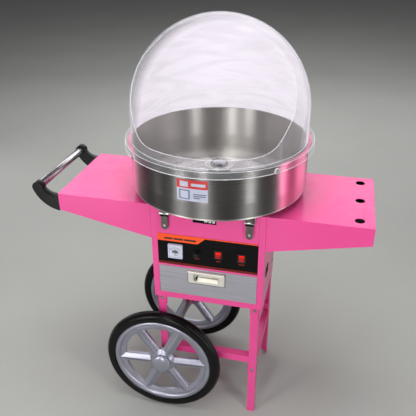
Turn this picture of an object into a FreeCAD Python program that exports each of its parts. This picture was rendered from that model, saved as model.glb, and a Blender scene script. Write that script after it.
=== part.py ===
"""Cart-type cotton candy machine: a sheet-metal cabinet on a two-wheeled stand, with a
stainless bowl, a spinning sugar head, a clear bubble cover, two box-shaped side shelves,
a drawer and a push handle.  Millimetres, +Z up, front of the machine towards -Y.

Everything is laid out from the vertical spindle axis (x = 0, y = 0) and moved by AXIS_X
when it is written, so that the origin is the middle of the footprint, on the floor."""

import FreeCAD
import Part
import math
import os

V = FreeCAD.Vector

# ---------------------------------------------------------------- driving dimensions
AXIS_X = 41.0                 # spindle axis, from the middle of the footprint

SHEET = 1.5                   # cabinet sheet
ANGLE_WIDTH = 25.0            # stand angle section
ANGLE_WALL = 3.0
GAP = 0.1                     # fitting gap between touching sheets

CABINET_HALF_WIDTH = 171.0    # outside of the front posts
CABINET_HALF_DEPTH = 160.0
CABINET_TOP = 766.0
CABINET_BOTTOM = 440.0
POST_WIDTH = 19.0
SIDE_PANEL_X = 161.6          # outer face of the side panels
SIDE_PANEL_BOTTOM = 374.0
SILL_TOP = 460.0              # pink strip below the drawer
DRAWER_TOP = 560.0
PANEL_BOTTOM = 567.0
PANEL_TOP = 673.0

LEG_HALF_X = 160.0            # outer faces of the legs
LEG_HALF_Y = 156.0
LEFT_LEG_BOTTOM = 172.0
FRONT_RAIL_TOP = 240.0
SIDE_RAIL_TOP = 197.0

WHEEL_X = -148.0
WHEEL_Y = 183.0               # middle of the tyre
TYRE_RADIUS = 195.0
TYRE_WIDTH = 38.0
RIM_RADIUS = 167.0
RIM_WIDTH = 30.0
SPOKE_COUNT = 6
SPOKE_PHASE = 4.4             # degrees
SPOKE_HALF_WIDTH = 18.0
WINDOW_RADIUS = 130.0         # outer edge of the rim's windows
WINDOW_ROUND = 12.0
CONE_RADIUS = 152.0           # front edge of the rim's inner cone
WEB_HALF = 4.0
RIDGE_CREST = 12.0
RIDGE_HALF_WIDTH = 15.0
HUB_RADIUS = 36.0
HUB_FACE = 18.0
HUB_BACK = 20.0
CAP_RADIUS = 34.0
AXLE_RADIUS = 8.0
AXLE_HALF_LENGTH = 205.0

SHELF_LENGTH = 291.0
SHELF_END_DEPTH = 54.0
SHELF_ROOT_DEPTH = 114.0
CONE_HOLE_RADIUS = 13.5
CONE_HOLE_X = 421.0
CONE_HOLE_PITCH = 122.0

HANDLE_X = -527.0
HANDLE_Z = 779.0
HANDLE_TUBE_RADIUS = 12.5
HANDLE_BOSS_RADIUS = 17.0
BRACKET_WIDTH = 22.0

BOWL_RADIUS = 260.0
BOWL_BOTTOM = 783.0
BOWL_RIM = 935.0
BOWL_WALL = 2.0
BOWL_CORNER = 16.0
RIM_BEAD = 4.0
SAUCER_TOP = 840.0
SAUCER_RADIUS = 46.0
CROWN_RADIUS = 26.5
CROWN_SLOTS = 6
CROWN_SLOT_HALF_WIDTH = 9.5
CROWN_PHASE = -77.4           # degrees, a slot towards the operator

DOME_RADIUS = 257.0
DOME_CENTRE_Z = 1020.0
DOME_WALL = 3.0
FLANGE_RADIUS = 277.0
SKIRT_BOTTOM = 917.0
LIP_Z = 962.0                 # lower edge of the serving opening

LATCH_X = 125.0
BOLT_RADIUS = 3.0
RUN_CLEARANCE = 0.05

GAUGE = (-96.0, 618.5, 43.6, 46.0)      # x, z, width, height
GAUGE_BARREL_RADIUS = 19.0
KNOB = (-31.0, 618.0)                   # x, z
ROCKERS = (("motor", 34.0, 621.0), ("heat", 104.0, 619.0))
ROCKER_WIDTH = 17.0
ROCKER_HEIGHT = 21.0
LATCH_PIVOT = (5.5, 754.0)              # outward from the front face, and height
LATCH_LINK = (6.2, 742.0)
SHAFT_RADIUS = 6.0
MOUNT_CIRCLE_RADIUS = 57.5

NODES = {}


# ---------------------------------------------------------------- building helpers
def box(x0, x1, y0, y1, z0, z1):
    """Box from its two corners."""
    return Part.makeBox(x1 - x0, y1 - y0, z1 - z0, V(x0, y0, z0))


def rod(radius, start, direction, length):
    """Cylinder along any direction."""
    return Part.makeCylinder(radius, length, V(*start), V(*direction))


def ring(r_outer, r_inner, start, direction, length):
    """Tube along any direction."""
    return rod(r_outer, start, direction, length).cut(rod(r_inner, start, direction, length))


def turned(profile, axis=(0, 0, 1)):
    """Closed (radius, height) outline turned about a vertical axis or the Y axis."""
    points = []
    for radius, height in profile:
        if axis == (0, 0, 1):
            points.append(V(radius, 0, height))
        else:
            points.append(V(radius, height, 0))
    wire = Part.makePolygon(points + points[:1])
    solid = Part.Face(wire).revolve(V(0, 0, 0), V(*axis), 360)
    return solid


def prism(points, direction):
    """Polygon given as 3D points, pushed along a direction."""
    outline = [V(*point) for point in points]
    return Part.Face(Part.makePolygon(outline + outline[:1])).extrude(V(*direction))


def fuse(shapes):
    """One solid from several that overlap or touch."""
    joined = shapes[0]
    for shape in shapes[1:]:
        joined = joined.fuse(shape)
    return joined.removeSplitter()


def cut(shape, tools):
    """Shape with each tool taken out of it."""
    for tool in tools:
        shape = shape.cut(tool)
    return shape


def mirror_x(shape):
    """Mirror image across the X = 0 plane."""
    return shape.mirror(V(0, 0, 0), V(1, 0, 0))


def mirror_y(shape):
    """Mirror image across the Y = 0 plane."""
    return shape.mirror(V(0, 0, 0), V(0, 1, 0))


def moved(shape, x=0.0, y=0.0, z=0.0):
    """Copy of a shape at another place."""
    copy = shape.copy()
    copy.translate(V(x, y, z))
    return copy


def node(name, *shapes):
    """Keep a sub-part, as one solid or as a group of separate solids."""
    NODES[name] = shapes[0] if len(shapes) == 1 else Part.makeCompound(list(shapes))


def pan_head_bolt(place, direction, grip, radius=BOLT_RADIUS, nut=True):
    """Domed bolt whose head stands on `place` and whose shank runs along `direction`."""
    head_height = radius * 1.1
    outward = V(*direction) * -1
    head = Part.makeCone(radius * 1.9, radius * 1.2, head_height, V(*place), outward)
    shank_end = grip + (radius * 1.9 if nut else 0.0)
    shank = Part.makeCylinder(radius, shank_end, V(*place), V(*direction))
    parts = [head, shank]
    if nut:
        seat = V(*place) + V(*direction) * grip
        parts.append(Part.makeCylinder(radius * 1.8, radius * 1.5, seat, V(*direction)))
    return fuse(parts)


# ---------------------------------------------------------------- stand
def stand_bolt_places():
    """Every stand bolt: (place of the head, direction of the shank, grip)."""
    tab = ANGLE_WALL + SHEET
    places = []
    for sx in (-1, 1):
        for sy in (-1, 1):
            places.append(((sx * 147.5, sy * LEG_HALF_Y, 431), (0, -sy, 0), tab))
            places.append(((sx * SIDE_PANEL_X, sy * 143, 431), (-sx, 0, 0), tab + SHEET + GAP))
            places.append(((sx * LEG_HALF_X, sy * 141, 228), (-sx, 0, 0), 2 * ANGLE_WALL))
    for sy in (-1, 1):
        places.append(((147.5, sy * LEG_HALF_Y, 188), (0, -sy, 0), 2 * ANGLE_WALL))
    return places


def bolt_holes():
    """Clearance holes for the stand bolts."""
    holes = []
    for place, direction, grip in stand_bolt_places():
        start = V(*place) - V(*direction) * 2
        holes.append(Part.makeCylinder(BOLT_RADIUS + 0.1, grip + 6, start, V(*direction)))
    return holes


def leg(sx, sy, bottom):
    """Angle leg with its corner outwards."""
    x0, x1 = sorted((sx * LEG_HALF_X, sx * (LEG_HALF_X - ANGLE_WIDTH)))
    y0, y1 = sorted((sy * LEG_HALF_Y, sy * (LEG_HALF_Y - ANGLE_WIDTH)))
    top = CABINET_BOTTOM
    outer = box(x0, x1, y0, y1, bottom, top)
    wall = ANGLE_WALL
    inner_x0, inner_x1 = sorted((sx * (LEG_HALF_X - wall), sx * (LEG_HALF_X - ANGLE_WIDTH - wall)))
    inner_y0, inner_y1 = sorted((sy * (LEG_HALF_Y - wall), sy * (LEG_HALF_Y - ANGLE_WIDTH - wall)))
    return outer.cut(box(inner_x0, inner_x1, inner_y0, inner_y1, bottom - 1, top + 1))


def cross_rail(sy):
    """Front or rear rail: an angle between the legs, with a bolting tab at each end."""
    end = LEG_HALF_X - ANGLE_WALL
    face = LEG_HALF_Y - ANGLE_WALL
    depth0, depth1 = sorted((sy * face, sy * (face - ANGLE_WIDTH)))
    wall0, wall1 = sorted((sy * face, sy * (face - ANGLE_WALL)))
    low = FRONT_RAIL_TOP - ANGLE_WIDTH
    parts = [box(-end, end, wall0, wall1, low, FRONT_RAIL_TOP)]
    parts.append(box(-end, end, depth0, depth1, FRONT_RAIL_TOP - ANGLE_WALL, FRONT_RAIL_TOP))
    for sx in (-1, 1):
        tab0, tab1 = sorted((sx * end, sx * (end - ANGLE_WALL)))
        parts.append(box(tab0, tab1, depth0, depth1, low, FRONT_RAIL_TOP))
    return fuse(parts)


def side_rail():
    """Right-hand rail between the two standing legs, lower than the cross rails."""
    face = LEG_HALF_X - ANGLE_WALL
    end = LEG_HALF_Y - ANGLE_WALL
    low = SIDE_RAIL_TOP - ANGLE_WIDTH
    parts = [box(face - ANGLE_WALL, face, -end, end, low, SIDE_RAIL_TOP)]
    parts.append(box(face - ANGLE_WIDTH, face, -end, end, SIDE_RAIL_TOP - ANGLE_WALL, SIDE_RAIL_TOP))
    for sy in (-1, 1):
        tab0, tab1 = sorted((sy * end, sy * (end - ANGLE_WALL)))
        parts.append(box(face - ANGLE_WIDTH, face, tab0, tab1, low, SIDE_RAIL_TOP))
    return fuse(parts)


def make_stand():
    holes = bolt_holes()
    axle_start = (WHEEL_X, -AXLE_HALF_LENGTH, TYRE_RADIUS)
    axle_hole = rod(AXLE_RADIUS + RUN_CLEARANCE, axle_start, (0, 1, 0), 2 * AXLE_HALF_LENGTH)
    for side, sx, bottom in (("left", -1, LEFT_LEG_BOTTOM), ("right", 1, 0.0)):
        for end, sy in (("front", -1), ("rear", 1)):
            shape = cut(leg(sx, sy, bottom), holes)
            if sx < 0:
                shape = shape.cut(axle_hole)
            node("leg_%s_%s" % (end, side), shape)
    rails = [cross_rail(-1), cross_rail(1), side_rail()]
    node("lower_rails", *[cut(rail, holes) for rail in rails])
    node("stand_bolts", *[pan_head_bolt(*spec) for spec in stand_bolt_places()])


# ---------------------------------------------------------------- wheels
def tyre_profile():
    """Solid rubber section: crowned tread, rounded shoulders, seat on the rim."""
    half = TYRE_WIDTH / 2
    seat = RIM_RADIUS - 3
    profile = [(seat, -half + 4), (seat + 4, -half)]
    shoulder = 10.0
    for step in range(0, 7):
        angle = math.radians(step * 15)
        radius = TYRE_RADIUS - 3 - shoulder + shoulder * math.sin(angle)
        profile.append((radius, -half + shoulder - shoulder * math.cos(angle)))
    profile.append((TYRE_RADIUS, 0.0))
    mirrored = [(radius, -offset) for radius, offset in reversed(profile[:-1])]
    return profile + mirrored


def rim_window(angle):
    """Rounded three-cornered opening between two spokes, to be cut from the web."""
    reach = math.radians(30) - math.asin(SPOKE_HALF_WIDTH / WINDOW_RADIUS)
    side = -40.0
    tip = V(SPOKE_HALF_WIDTH / math.sin(math.radians(30)), side, 0)
    low = V(WINDOW_RADIUS * math.cos(reach), side, -WINDOW_RADIUS * math.sin(reach))
    high = V(low.x, side, -low.z)
    edges = [Part.LineSegment(tip, low).toShape()]
    edges.append(Part.Arc(low, V(WINDOW_RADIUS, side, 0), high).toShape())
    edges.append(Part.LineSegment(high, tip).toShape())
    opening = Part.Face(Part.Wire(edges)).extrude(V(0, -2 * side, 0))
    corners = [edge for edge in opening.Edges if edge.BoundBox.YLength > -side]
    opening = opening.makeFillet(WINDOW_ROUND, corners)
    opening.rotate(V(0, 0, 0), V(0, 1, 0), -angle)
    return opening


def spoke_ridge(angle):
    """Roof-shaped ridge along a spoke, on both faces; it dies out in the rim's cone."""
    crest = 1.2
    section = [(-RIDGE_CREST, crest), (-WEB_HALF, RIDGE_HALF_WIDTH), (WEB_HALF, RIDGE_HALF_WIDTH)]
    section += [(RIDGE_CREST, crest), (RIDGE_CREST, -crest), (WEB_HALF, -RIDGE_HALF_WIDTH)]
    section += [(-WEB_HALF, -RIDGE_HALF_WIDTH), (-RIDGE_CREST, -crest)]
    start = HUB_RADIUS - 6
    ridge = prism([(start, y, z) for y, z in section], (CONE_RADIUS - 1 - start, 0, 0))
    ridge.rotate(V(0, 0, 0), V(0, 1, 0), -angle)
    return ridge


def rim_shape():
    """Dished six-spoke rim: outer band, inner cone, thin web with windows, ridges and hub."""
    band = RIM_WIDTH / 2 + 2
    seat = RIM_RADIUS - 3.05
    bore = AXLE_RADIUS + RUN_CLEARANCE
    half = [(HUB_RADIUS, HUB_FACE), (HUB_RADIUS + 9, WEB_HALF), (WINDOW_RADIUS, WEB_HALF)]
    half += [(CONE_RADIUS, band - 4), (CONE_RADIUS + 3, band - 1), (RIM_RADIUS - 8, band), (seat, band - 1)]
    profile = [(bore, -HUB_FACE)] + [(radius, -offset) for radius, offset in half]
    profile += list(reversed(half)) + [(HUB_RADIUS - 8, HUB_BACK), (bore, HUB_BACK)]
    rim = turned(profile, axis=(0, 1, 0))
    step = 360.0 / SPOKE_COUNT
    angles = [SPOKE_PHASE + index * step for index in range(SPOKE_COUNT)]
    rim = cut(rim, [rim_window(angle + step / 2) for angle in angles])
    return fuse([rim] + [spoke_ridge(angle) for angle in angles])


def hub_cap_shape():
    """Domed cap, hollow over the end of the axle."""
    rim_face = -HUB_FACE
    shoulder = rim_face - 5
    profile = [(CAP_RADIUS - 3, rim_face), (CAP_RADIUS, rim_face)]
    for step in range(0, 6):
        angle = math.radians(step * 15)
        profile.append((CAP_RADIUS * math.cos(angle), shoulder - 10.0 * math.sin(angle)))
    profile += [(0.0, shoulder - 10), (0.0, shoulder - 7), (22.0, shoulder - 4), (CAP_RADIUS - 3, shoulder)]
    return turned(profile, axis=(0, 1, 0))


def make_wheels():
    for end, sy in (("front", -1), ("rear", 1)):
        tyre = turned(tyre_profile(), axis=(0, 1, 0))
        rim = rim_shape()
        cap = hub_cap_shape()
        for name, shape in (("tyre", tyre), ("wheel_rim", rim), ("hub_cap", cap)):
            if sy > 0:
                shape = mirror_y(shape)
            node("%s_%s" % (name, end), moved(shape, WHEEL_X, sy * WHEEL_Y, TYRE_RADIUS))
    hub_inner = WHEEL_Y - HUB_BACK - 0.3
    axle = rod(AXLE_RADIUS, (WHEEL_X, -AXLE_HALF_LENGTH, TYRE_RADIUS), (0, 1, 0), 2 * AXLE_HALF_LENGTH)
    collars = []
    for sy in (-1, 1):
        inner = min(LEG_HALF_Y * sy, hub_inner * sy)
        length = hub_inner - LEG_HALF_Y
        collars.append(ring(14.0, AXLE_RADIUS, (WHEEL_X, inner, TYRE_RADIUS), (0, 1, 0), length))
    node("wheel_axle", fuse([axle] + collars))


# ---------------------------------------------------------------- cabinet
def make_front_frame():
    """Front posts with folded returns, the sill below the drawer and the strip above it."""
    front = -CABINET_HALF_DEPTH
    inner = CABINET_HALF_WIDTH - POST_WIDTH
    parts = []
    for sx in (-1, 1):
        x0, x1 = sorted((sx * inner, sx * CABINET_HALF_WIDTH))
        edge0, edge1 = sorted((sx * CABINET_HALF_WIDTH, sx * (CABINET_HALF_WIDTH - SHEET)))
        back0, back1 = sorted((sx * CABINET_HALF_WIDTH, sx * (SIDE_PANEL_X + GAP)))
        parts.append(box(x0, x1, front, front + SHEET, CABINET_BOTTOM, CABINET_TOP))
        parts.append(box(edge0, edge1, front, front + 12, CABINET_BOTTOM, CABINET_TOP))
        parts.append(box(back0, back1, front + 12 - SHEET, front + 12, CABINET_BOTTOM, CABINET_TOP))
    parts.append(box(-inner, inner, front, front + SHEET, CABINET_BOTTOM, SILL_TOP))
    parts.append(box(-inner, inner, front, front + 12, SILL_TOP - SHEET, SILL_TOP))
    parts.append(box(-inner, inner, front, front + SHEET, DRAWER_TOP, PANEL_BOTTOM))
    parts.append(box(-inner, inner, front, front + 12, DRAWER_TOP, DRAWER_TOP + SHEET))
    node("front_frame", fuse(parts))


def make_fascia():
    """Plain sheet above the control panel, with a folded lower edge."""
    front = -CABINET_HALF_DEPTH
    half = CABINET_HALF_WIDTH - POST_WIDTH - GAP
    top = CABINET_TOP - SHEET - GAP
    low = PANEL_TOP + GAP
    sheet = box(-half, half, front, front + SHEET, low, top)
    fold = box(-half, half, front, front + 10, low, low + SHEET)
    node("front_fascia", fuse([sheet, fold]))


def make_side_panels():
    inlet_hole = box(150, 170, -31.1, -2.9, 481.9, 504.1)
    holes = bolt_holes()
    for name, sx in (("side_panel_left", -1), ("side_panel_right", 1)):
        x0, x1 = sorted((sx * SIDE_PANEL_X, sx * (SIDE_PANEL_X - SHEET)))
        half = CABINET_HALF_DEPTH - SHEET - GAP
        top = CABINET_TOP - SHEET - GAP
        sheet = box(x0, x1, -half, half, SIDE_PANEL_BOTTOM, top)
        node(name, cut(sheet, holes + ([inlet_hole] if sx > 0 else [])))


def make_rear_panel():
    """Rear sheet with two rows of cooling slots."""
    rear = CABINET_HALF_DEPTH
    top = CABINET_TOP - SHEET - GAP
    sheet = box(-SIDE_PANEL_X, SIDE_PANEL_X, rear - SHEET, rear, CABINET_BOTTOM, top)
    slots = []
    for row in range(6):
        for x in (-95, -35, 25):
            z = 590 + row * 20
            slots.append(box(x, x + 50, rear - 5, rear + 5, z, z + 6))
    node("rear_panel", cut(sheet, slots))


def make_base_tray():
    """Floor of the cabinet with four folded tabs that the legs bolt to."""
    half_x = SIDE_PANEL_X - SHEET - GAP
    half_y = CABINET_HALF_DEPTH - SHEET - GAP
    parts = [box(-half_x, half_x, -half_y, half_y, CABINET_BOTTOM, CABINET_BOTTOM + SHEET)]
    tab_x = LEG_HALF_X - ANGLE_WALL
    tab_y = LEG_HALF_Y - ANGLE_WALL
    low = CABINET_BOTTOM - 32
    for sx in (-1, 1):
        for sy in (-1, 1):
            x0, x1 = sorted((sx * tab_x, sx * (tab_x - 24)))
            thin_x0, thin_x1 = sorted((sx * tab_x, sx * (tab_x - SHEET)))
            y0, y1 = sorted((sy * tab_y, sy * (tab_y - 24)))
            thin_y0, thin_y1 = sorted((sy * tab_y, sy * (tab_y - SHEET)))
            parts.append(box(x0, x1, thin_y0, thin_y1, low, CABINET_BOTTOM + SHEET))
            parts.append(box(thin_x0, thin_x1, y0, y1, low, CABINET_BOTTOM + SHEET))
    node("base_tray", cut(fuse(parts), bolt_holes()))


def make_divider():
    """Sheet between the drawer space and the electrical space."""
    half_x = SIDE_PANEL_X - SHEET - GAP
    half_y = CABINET_HALF_DEPTH - SHEET - GAP
    z = PANEL_BOTTOM + GAP
    node("divider_shelf", box(-half_x, half_x, -half_y, half_y, z, z + SHEET))


def make_top_deck():
    """Top sheet with a pressed plateau that the bowl stands on."""
    half = CABINET_HALF_DEPTH
    top = CABINET_TOP
    # The front corners stop short of the posts, which run up to the top.
    width = CABINET_HALF_WIDTH
    deck = box(-width, width, -half, half, top - SHEET, top)
    for sx in (-1, 1):
        x0, x1 = sorted((sx * (CABINET_HALF_WIDTH - POST_WIDTH - GAP), sx * 172))
        deck = deck.cut(box(x0, x1, -half - 1, -half + 12 + GAP, top - 5, top + 5))
    plateau = BOWL_BOTTOM
    deck = deck.cut(rod(146 - SHEET, (0, 0, top - 5), (0, 0, 1), 10))
    hat_profile = [(42, plateau - SHEET), (42, plateau), (140, plateau), (146, plateau - 6)]
    hat_profile += [(146, top - SHEET), (146 - SHEET, top - SHEET), (146 - SHEET, plateau - 6.6)]
    hat_profile.append((139.4, plateau - SHEET))
    hat = turned(hat_profile)
    deck = deck.fuse(hat).removeSplitter()
    bores = [rod(4.0, place, (0, 0, 1), 40) for place in mount_places(750)]
    node("top_deck", cut(deck, bores))


# ---------------------------------------------------------------- shelves and handle
def shelf_pan(sx):
    """Closed sheet box: flat top, deep root, shallow end, sloping underside."""
    root = CABINET_HALF_WIDTH + GAP
    end = CABINET_HALF_WIDTH + SHELF_LENGTH
    top = CABINET_TOP
    half = CABINET_HALF_DEPTH
    outline = [(root, -half, top), (end, -half, top), (end, -half, top - SHELF_END_DEPTH)]
    outline.append((root, -half, top - SHELF_ROOT_DEPTH))
    outer = prism(outline, (0, 2 * half, 0))
    inside = half - SHEET
    inner = [(root + SHEET, -inside, top - SHEET), (end - SHEET, -inside, top - SHEET)]
    inner.append((end - SHEET, -inside, top - SHELF_END_DEPTH + SHEET))
    inner.append((root + SHEET, -inside, top - SHELF_ROOT_DEPTH + SHEET))
    pan = outer.cut(prism(inner, (0, 2 * inside, 0)))
    return pan if sx > 0 else mirror_x(pan)


def make_shelves():
    node("left_shelf", shelf_pan(-1))
    holes = []
    for index in (-1, 0, 1):
        place = (CONE_HOLE_X, index * CONE_HOLE_PITCH, CABINET_TOP - 10)
        holes.append(rod(CONE_HOLE_RADIUS, place, (0, 0, 1), 20))
    node("right_shelf", cut(shelf_pan(1), holes))
    # Each shelf hangs on two angles that fill the gap between its root and the side panel.
    brackets = []
    for sx in (-1, 1):
        for y in (-105, 105):
            x0, x1 = sorted((sx * (SIDE_PANEL_X + GAP), sx * CABINET_HALF_WIDTH))
            foot0, foot1 = sorted((sx * (SIDE_PANEL_X + GAP), sx * (SIDE_PANEL_X + 3)))
            spacer = box(x0, x1, y - 14, y + 14, 655, 750)
            foot = box(foot0, foot1, y - 14, y + 14, 625, 655)
            brackets.append(fuse([spacer, foot]))
    node("shelf_brackets", *brackets)


def handle_bracket():
    """Curved moulded arm, drawn in the X-Z plane and made BRACKET_WIDTH wide."""
    wall_x = -(CABINET_HALF_WIDTH + SHELF_LENGTH) - GAP
    boss = V(HANDLE_X, 0, HANDLE_Z)
    radius = HANDLE_BOSS_RADIUS
    low = V(wall_x, 0, 708)
    high = V(wall_x, 0, 758)
    outer_turn = math.radians(25)
    inner_turn = math.radians(15)
    outer_end = V(boss.x - radius * math.cos(outer_turn), 0, boss.z - radius * math.sin(outer_turn))
    inner_end = V(boss.x + radius * math.cos(inner_turn), 0, boss.z - radius * math.sin(inner_turn))
    boss_top = V(boss.x - radius * 0.25, 0, boss.z + radius * math.sqrt(1 - 0.25 ** 2))
    outer_mid = V(wall_x - 47, 0, 727)
    inner_mid = V(wall_x - 30, 0, 760)
    edges = [Part.Arc(low, outer_mid, outer_end).toShape()]
    edges.append(Part.Arc(outer_end, boss_top, inner_end).toShape())
    edges.append(Part.Arc(inner_end, inner_mid, high).toShape())
    edges.append(Part.LineSegment(high, low).toShape())
    arm = Part.Face(Part.Wire(edges)).extrude(V(0, BRACKET_WIDTH, 0))
    return moved(arm, 0, -CABINET_HALF_DEPTH, 0)


def make_handle():
    socket_depth = 14.0
    end = CABINET_HALF_DEPTH - BRACKET_WIDTH + socket_depth
    start = (HANDLE_X, -end, HANDLE_Z)
    tube = ring(HANDLE_TUBE_RADIUS, HANDLE_TUBE_RADIUS - 1.5, start, (0, 1, 0), 2 * end)
    socket = rod(HANDLE_TUBE_RADIUS, start, (0, 1, 0), 60)
    front = handle_bracket().cut(socket)
    node("handle_bracket_front", front)
    node("handle_bracket_rear", mirror_y(front))
    node("handle_tube", tube)


# ---------------------------------------------------------------- drawer
def make_drawer():
    half = 128.0
    front = -CABINET_HALF_DEPTH
    back = 120.0
    low = SILL_TOP + 7
    high = DRAWER_TOP - 14
    outer = box(-half, half, front + SHEET, back, low, high)
    inner = box(-half + 1.2, half - 1.2, front + SHEET + 1.2, back - 1.2, low + 1.2, high + 5)
    flanges = [box(-half - 5, -half + 0.5, front + 20, back, high - 1.2, high)]
    flanges.append(box(half - 0.5, half + 5, front + 20, back, high - 1.2, high))
    pocket = box(-44, 38, front - 5, front + 16.1, 513.9, 542.1)
    node("drawer_box", cut(fuse([outer.cut(inner)] + flanges), [pocket]))
    gap = 0.6
    face = box(-151.4, 151.4, front, front + SHEET, SILL_TOP + gap, DRAWER_TOP - gap)
    node("drawer_front", cut(face, [pocket]))
    # Flush pull: a frame on the face, a pocket behind it, and an open slot to grip.
    frame = box(-60, 54, front - 1.6, front, 508, 554)
    cup = box(-44, 38, front - 1.6, front + 16, 514, 542)
    hollow = box(-42.5, 36.5, front - 5, front + 14.5, 515.5, 540.5)
    lip_section = [(front - 1.6, 548), (front - 6.5, 549), (front - 6.5, 552), (front - 1.6, 554)]
    lip = prism([(-60, y, z) for y, z in lip_section], (114, 0, 0))
    node("drawer_pull", cut(fuse([frame, cup, lip]), [hollow]))
    runners = []
    for sx in (-1, 1):
        x0, x1 = sorted((sx * (half + 2), sx * 160.0))
        channel = box(x0, x1, front + 18, back + 20, 533, high + 4)
        s0, s1 = sorted((sx * (half - 2), sx * 158.5))
        channel = channel.cut(box(s0, s1, front + 10, back + 30, 534.5, high + 2.5))
        runners.append(channel)
    node("drawer_runners", *runners)


# ---------------------------------------------------------------- controls
def make_control_panel():
    front = -CABINET_HALF_DEPTH
    half = CABINET_HALF_WIDTH - POST_WIDTH - GAP
    plate = box(-half, half, front - 0.4, front + SHEET, PANEL_BOTTOM + GAP, PANEL_TOP)
    x, z = GAUGE[:2]
    cuts = [rod(GAUGE_BARREL_RADIUS + 0.1, (x, front - 5, z), (0, 1, 0), 20)]
    cuts.append(rod(4.6, (KNOB[0], front - 5, KNOB[1]), (0, 1, 0), 20))
    for rx, rz in (place[1:] for place in ROCKERS):
        cuts.append(box(rx - 12.1, rx + 12.1, front - 5, front + 5, rz - 14.1, rz + 14.1))
    node("control_panel", cut(plate, cuts))


def make_voltmeter():
    front = -CABINET_HALF_DEPTH
    x, z, width, height = GAUGE
    face = front - 0.4
    body = box(x - width / 2, x + width / 2, face - 9, face, z - height / 2, z + height / 2)
    half_w = width / 2 - 2
    half_h = height / 2 - 2
    hollow = box(x - half_w, x + half_w, face - 20, face - 3, z - half_h, z + half_h)
    barrel = rod(GAUGE_BARREL_RADIUS, (x, face - 0.5, z), (0, 1, 0), 38)
    node("voltmeter_case", fuse([body.cut(hollow), barrel]))
    dial_w = half_w - 0.1
    dial_h = half_h - 0.1
    dial = box(x - dial_w, x + dial_w, face - 3.9, face - 3.0, z - dial_h, z + dial_h)
    pivot_z = z - 10
    pivot = rod(1.2, (x, face - 6.5, pivot_z), (0, 1, 0), 2.6)
    node("voltmeter_dial", fuse([dial, pivot]))
    hub = ring(3.0, 1.25, (x, face - 5.9, pivot_z), (0, 1, 0), 1.4)
    blade = box(x - 0.5, x + 0.5, face - 5.5, face - 4.9, pivot_z + 2.5, pivot_z + 23)
    needle = fuse([hub, blade])
    needle.rotate(V(x, face, pivot_z), V(0, 1, 0), -45)
    node("voltmeter_needle", needle)
    window = box(x - dial_w, x + dial_w, face - 8.8, face - 7.6, z - dial_h, z + dial_h)
    node("voltmeter_window", window)


def make_regulator():
    front = -CABINET_HALF_DEPTH
    x, z = KNOB
    body = rod(16.0, (x, front + SHEET, z), (0, 1, 0), 24)
    bush = rod(4.5, (x, front - 4.4, z), (0, 1, 0), 10)
    spindle = rod(3.0, (x, front - 12, z), (0, 1, 0), 14)
    node("regulator_body", fuse([body, bush, spindle]))
    skirt = Part.makeCone(11.5, 10.5, 3, V(x, front - 0.8, z), V(0, -1, 0))
    cap = Part.makeCone(9.0, 8.2, 12, V(x, front - 3.8, z), V(0, -1, 0))
    bore = rod(3.05, (x, front, z), (0, -1, 0), 13)
    recess = rod(4.9, (x, front, z), (0, -1, 0), 4.8)
    pointer = box(x - 0.8, x + 0.8, front - 16.4, front - 15.4, z + 1, z + 8)
    node("regulator_knob", cut(fuse([skirt, cap, pointer]), [bore, recess]))


def rocker_shape(x, z):
    """Two-faced rocker, pivoted behind the panel, with its upper half pressed."""
    front = -CABINET_HALF_DEPTH
    half_w = ROCKER_WIDTH / 2 - 0.4
    half_h = ROCKER_HEIGHT / 2 - 0.6
    pivot_y = front + 6
    outline = [(0, front - 5.8, -half_h), (0, front - 3.2, 0), (0, front - 5.8, half_h)]
    outline += [(0, pivot_y - 2, half_h - 1.6), (0, pivot_y + 2, 3), (0, pivot_y + 2, -3)]
    outline.append((0, pivot_y - 2, -half_h + 1.6))
    rocker = prism([(x - half_w, y, z + dz) for _x, y, dz in outline], (2 * half_w, 0, 0))
    rocker = rocker.cut(rod(1.55, (x - half_w - 1, pivot_y, z), (1, 0, 0), 2 * half_w + 2))
    rocker.rotate(V(x, pivot_y, z), V(1, 0, 0), -9)
    return rocker


def make_switches():
    front = -CABINET_HALF_DEPTH
    housings = []
    for name, x, z in ROCKERS:
        bezel = box(x - 13.5, x + 13.5, front - 2.4, front - 0.4, z - 15.5, z + 15.5)
        body = box(x - 12, x + 12, front - 0.4, front + 22, z - 14, z + 14)
        well = box(x - ROCKER_WIDTH / 2, x + ROCKER_WIDTH / 2, front - 5, front + 12,
                   z - ROCKER_HEIGHT / 2 - 0.6, z + ROCKER_HEIGHT / 2 + 0.6)
        pin = rod(1.5, (x - 11, front + 6, z), (1, 0, 0), 22)
        housings.append(fuse([cut(fuse([bezel, body]), [well]), pin]))
        node("%s_rocker" % name, rocker_shape(x, z))
    node("switch_housings", *housings)


# ---------------------------------------------------------------- drive
def mount_places(z):
    """Four rubber mounts around the motor boss."""
    places = []
    for index in range(4):
        angle = math.radians(45 + 90 * index)
        places.append((MOUNT_CIRCLE_RADIUS * math.cos(angle), MOUNT_CIRCLE_RADIUS * math.sin(angle), z))
    return places


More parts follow.
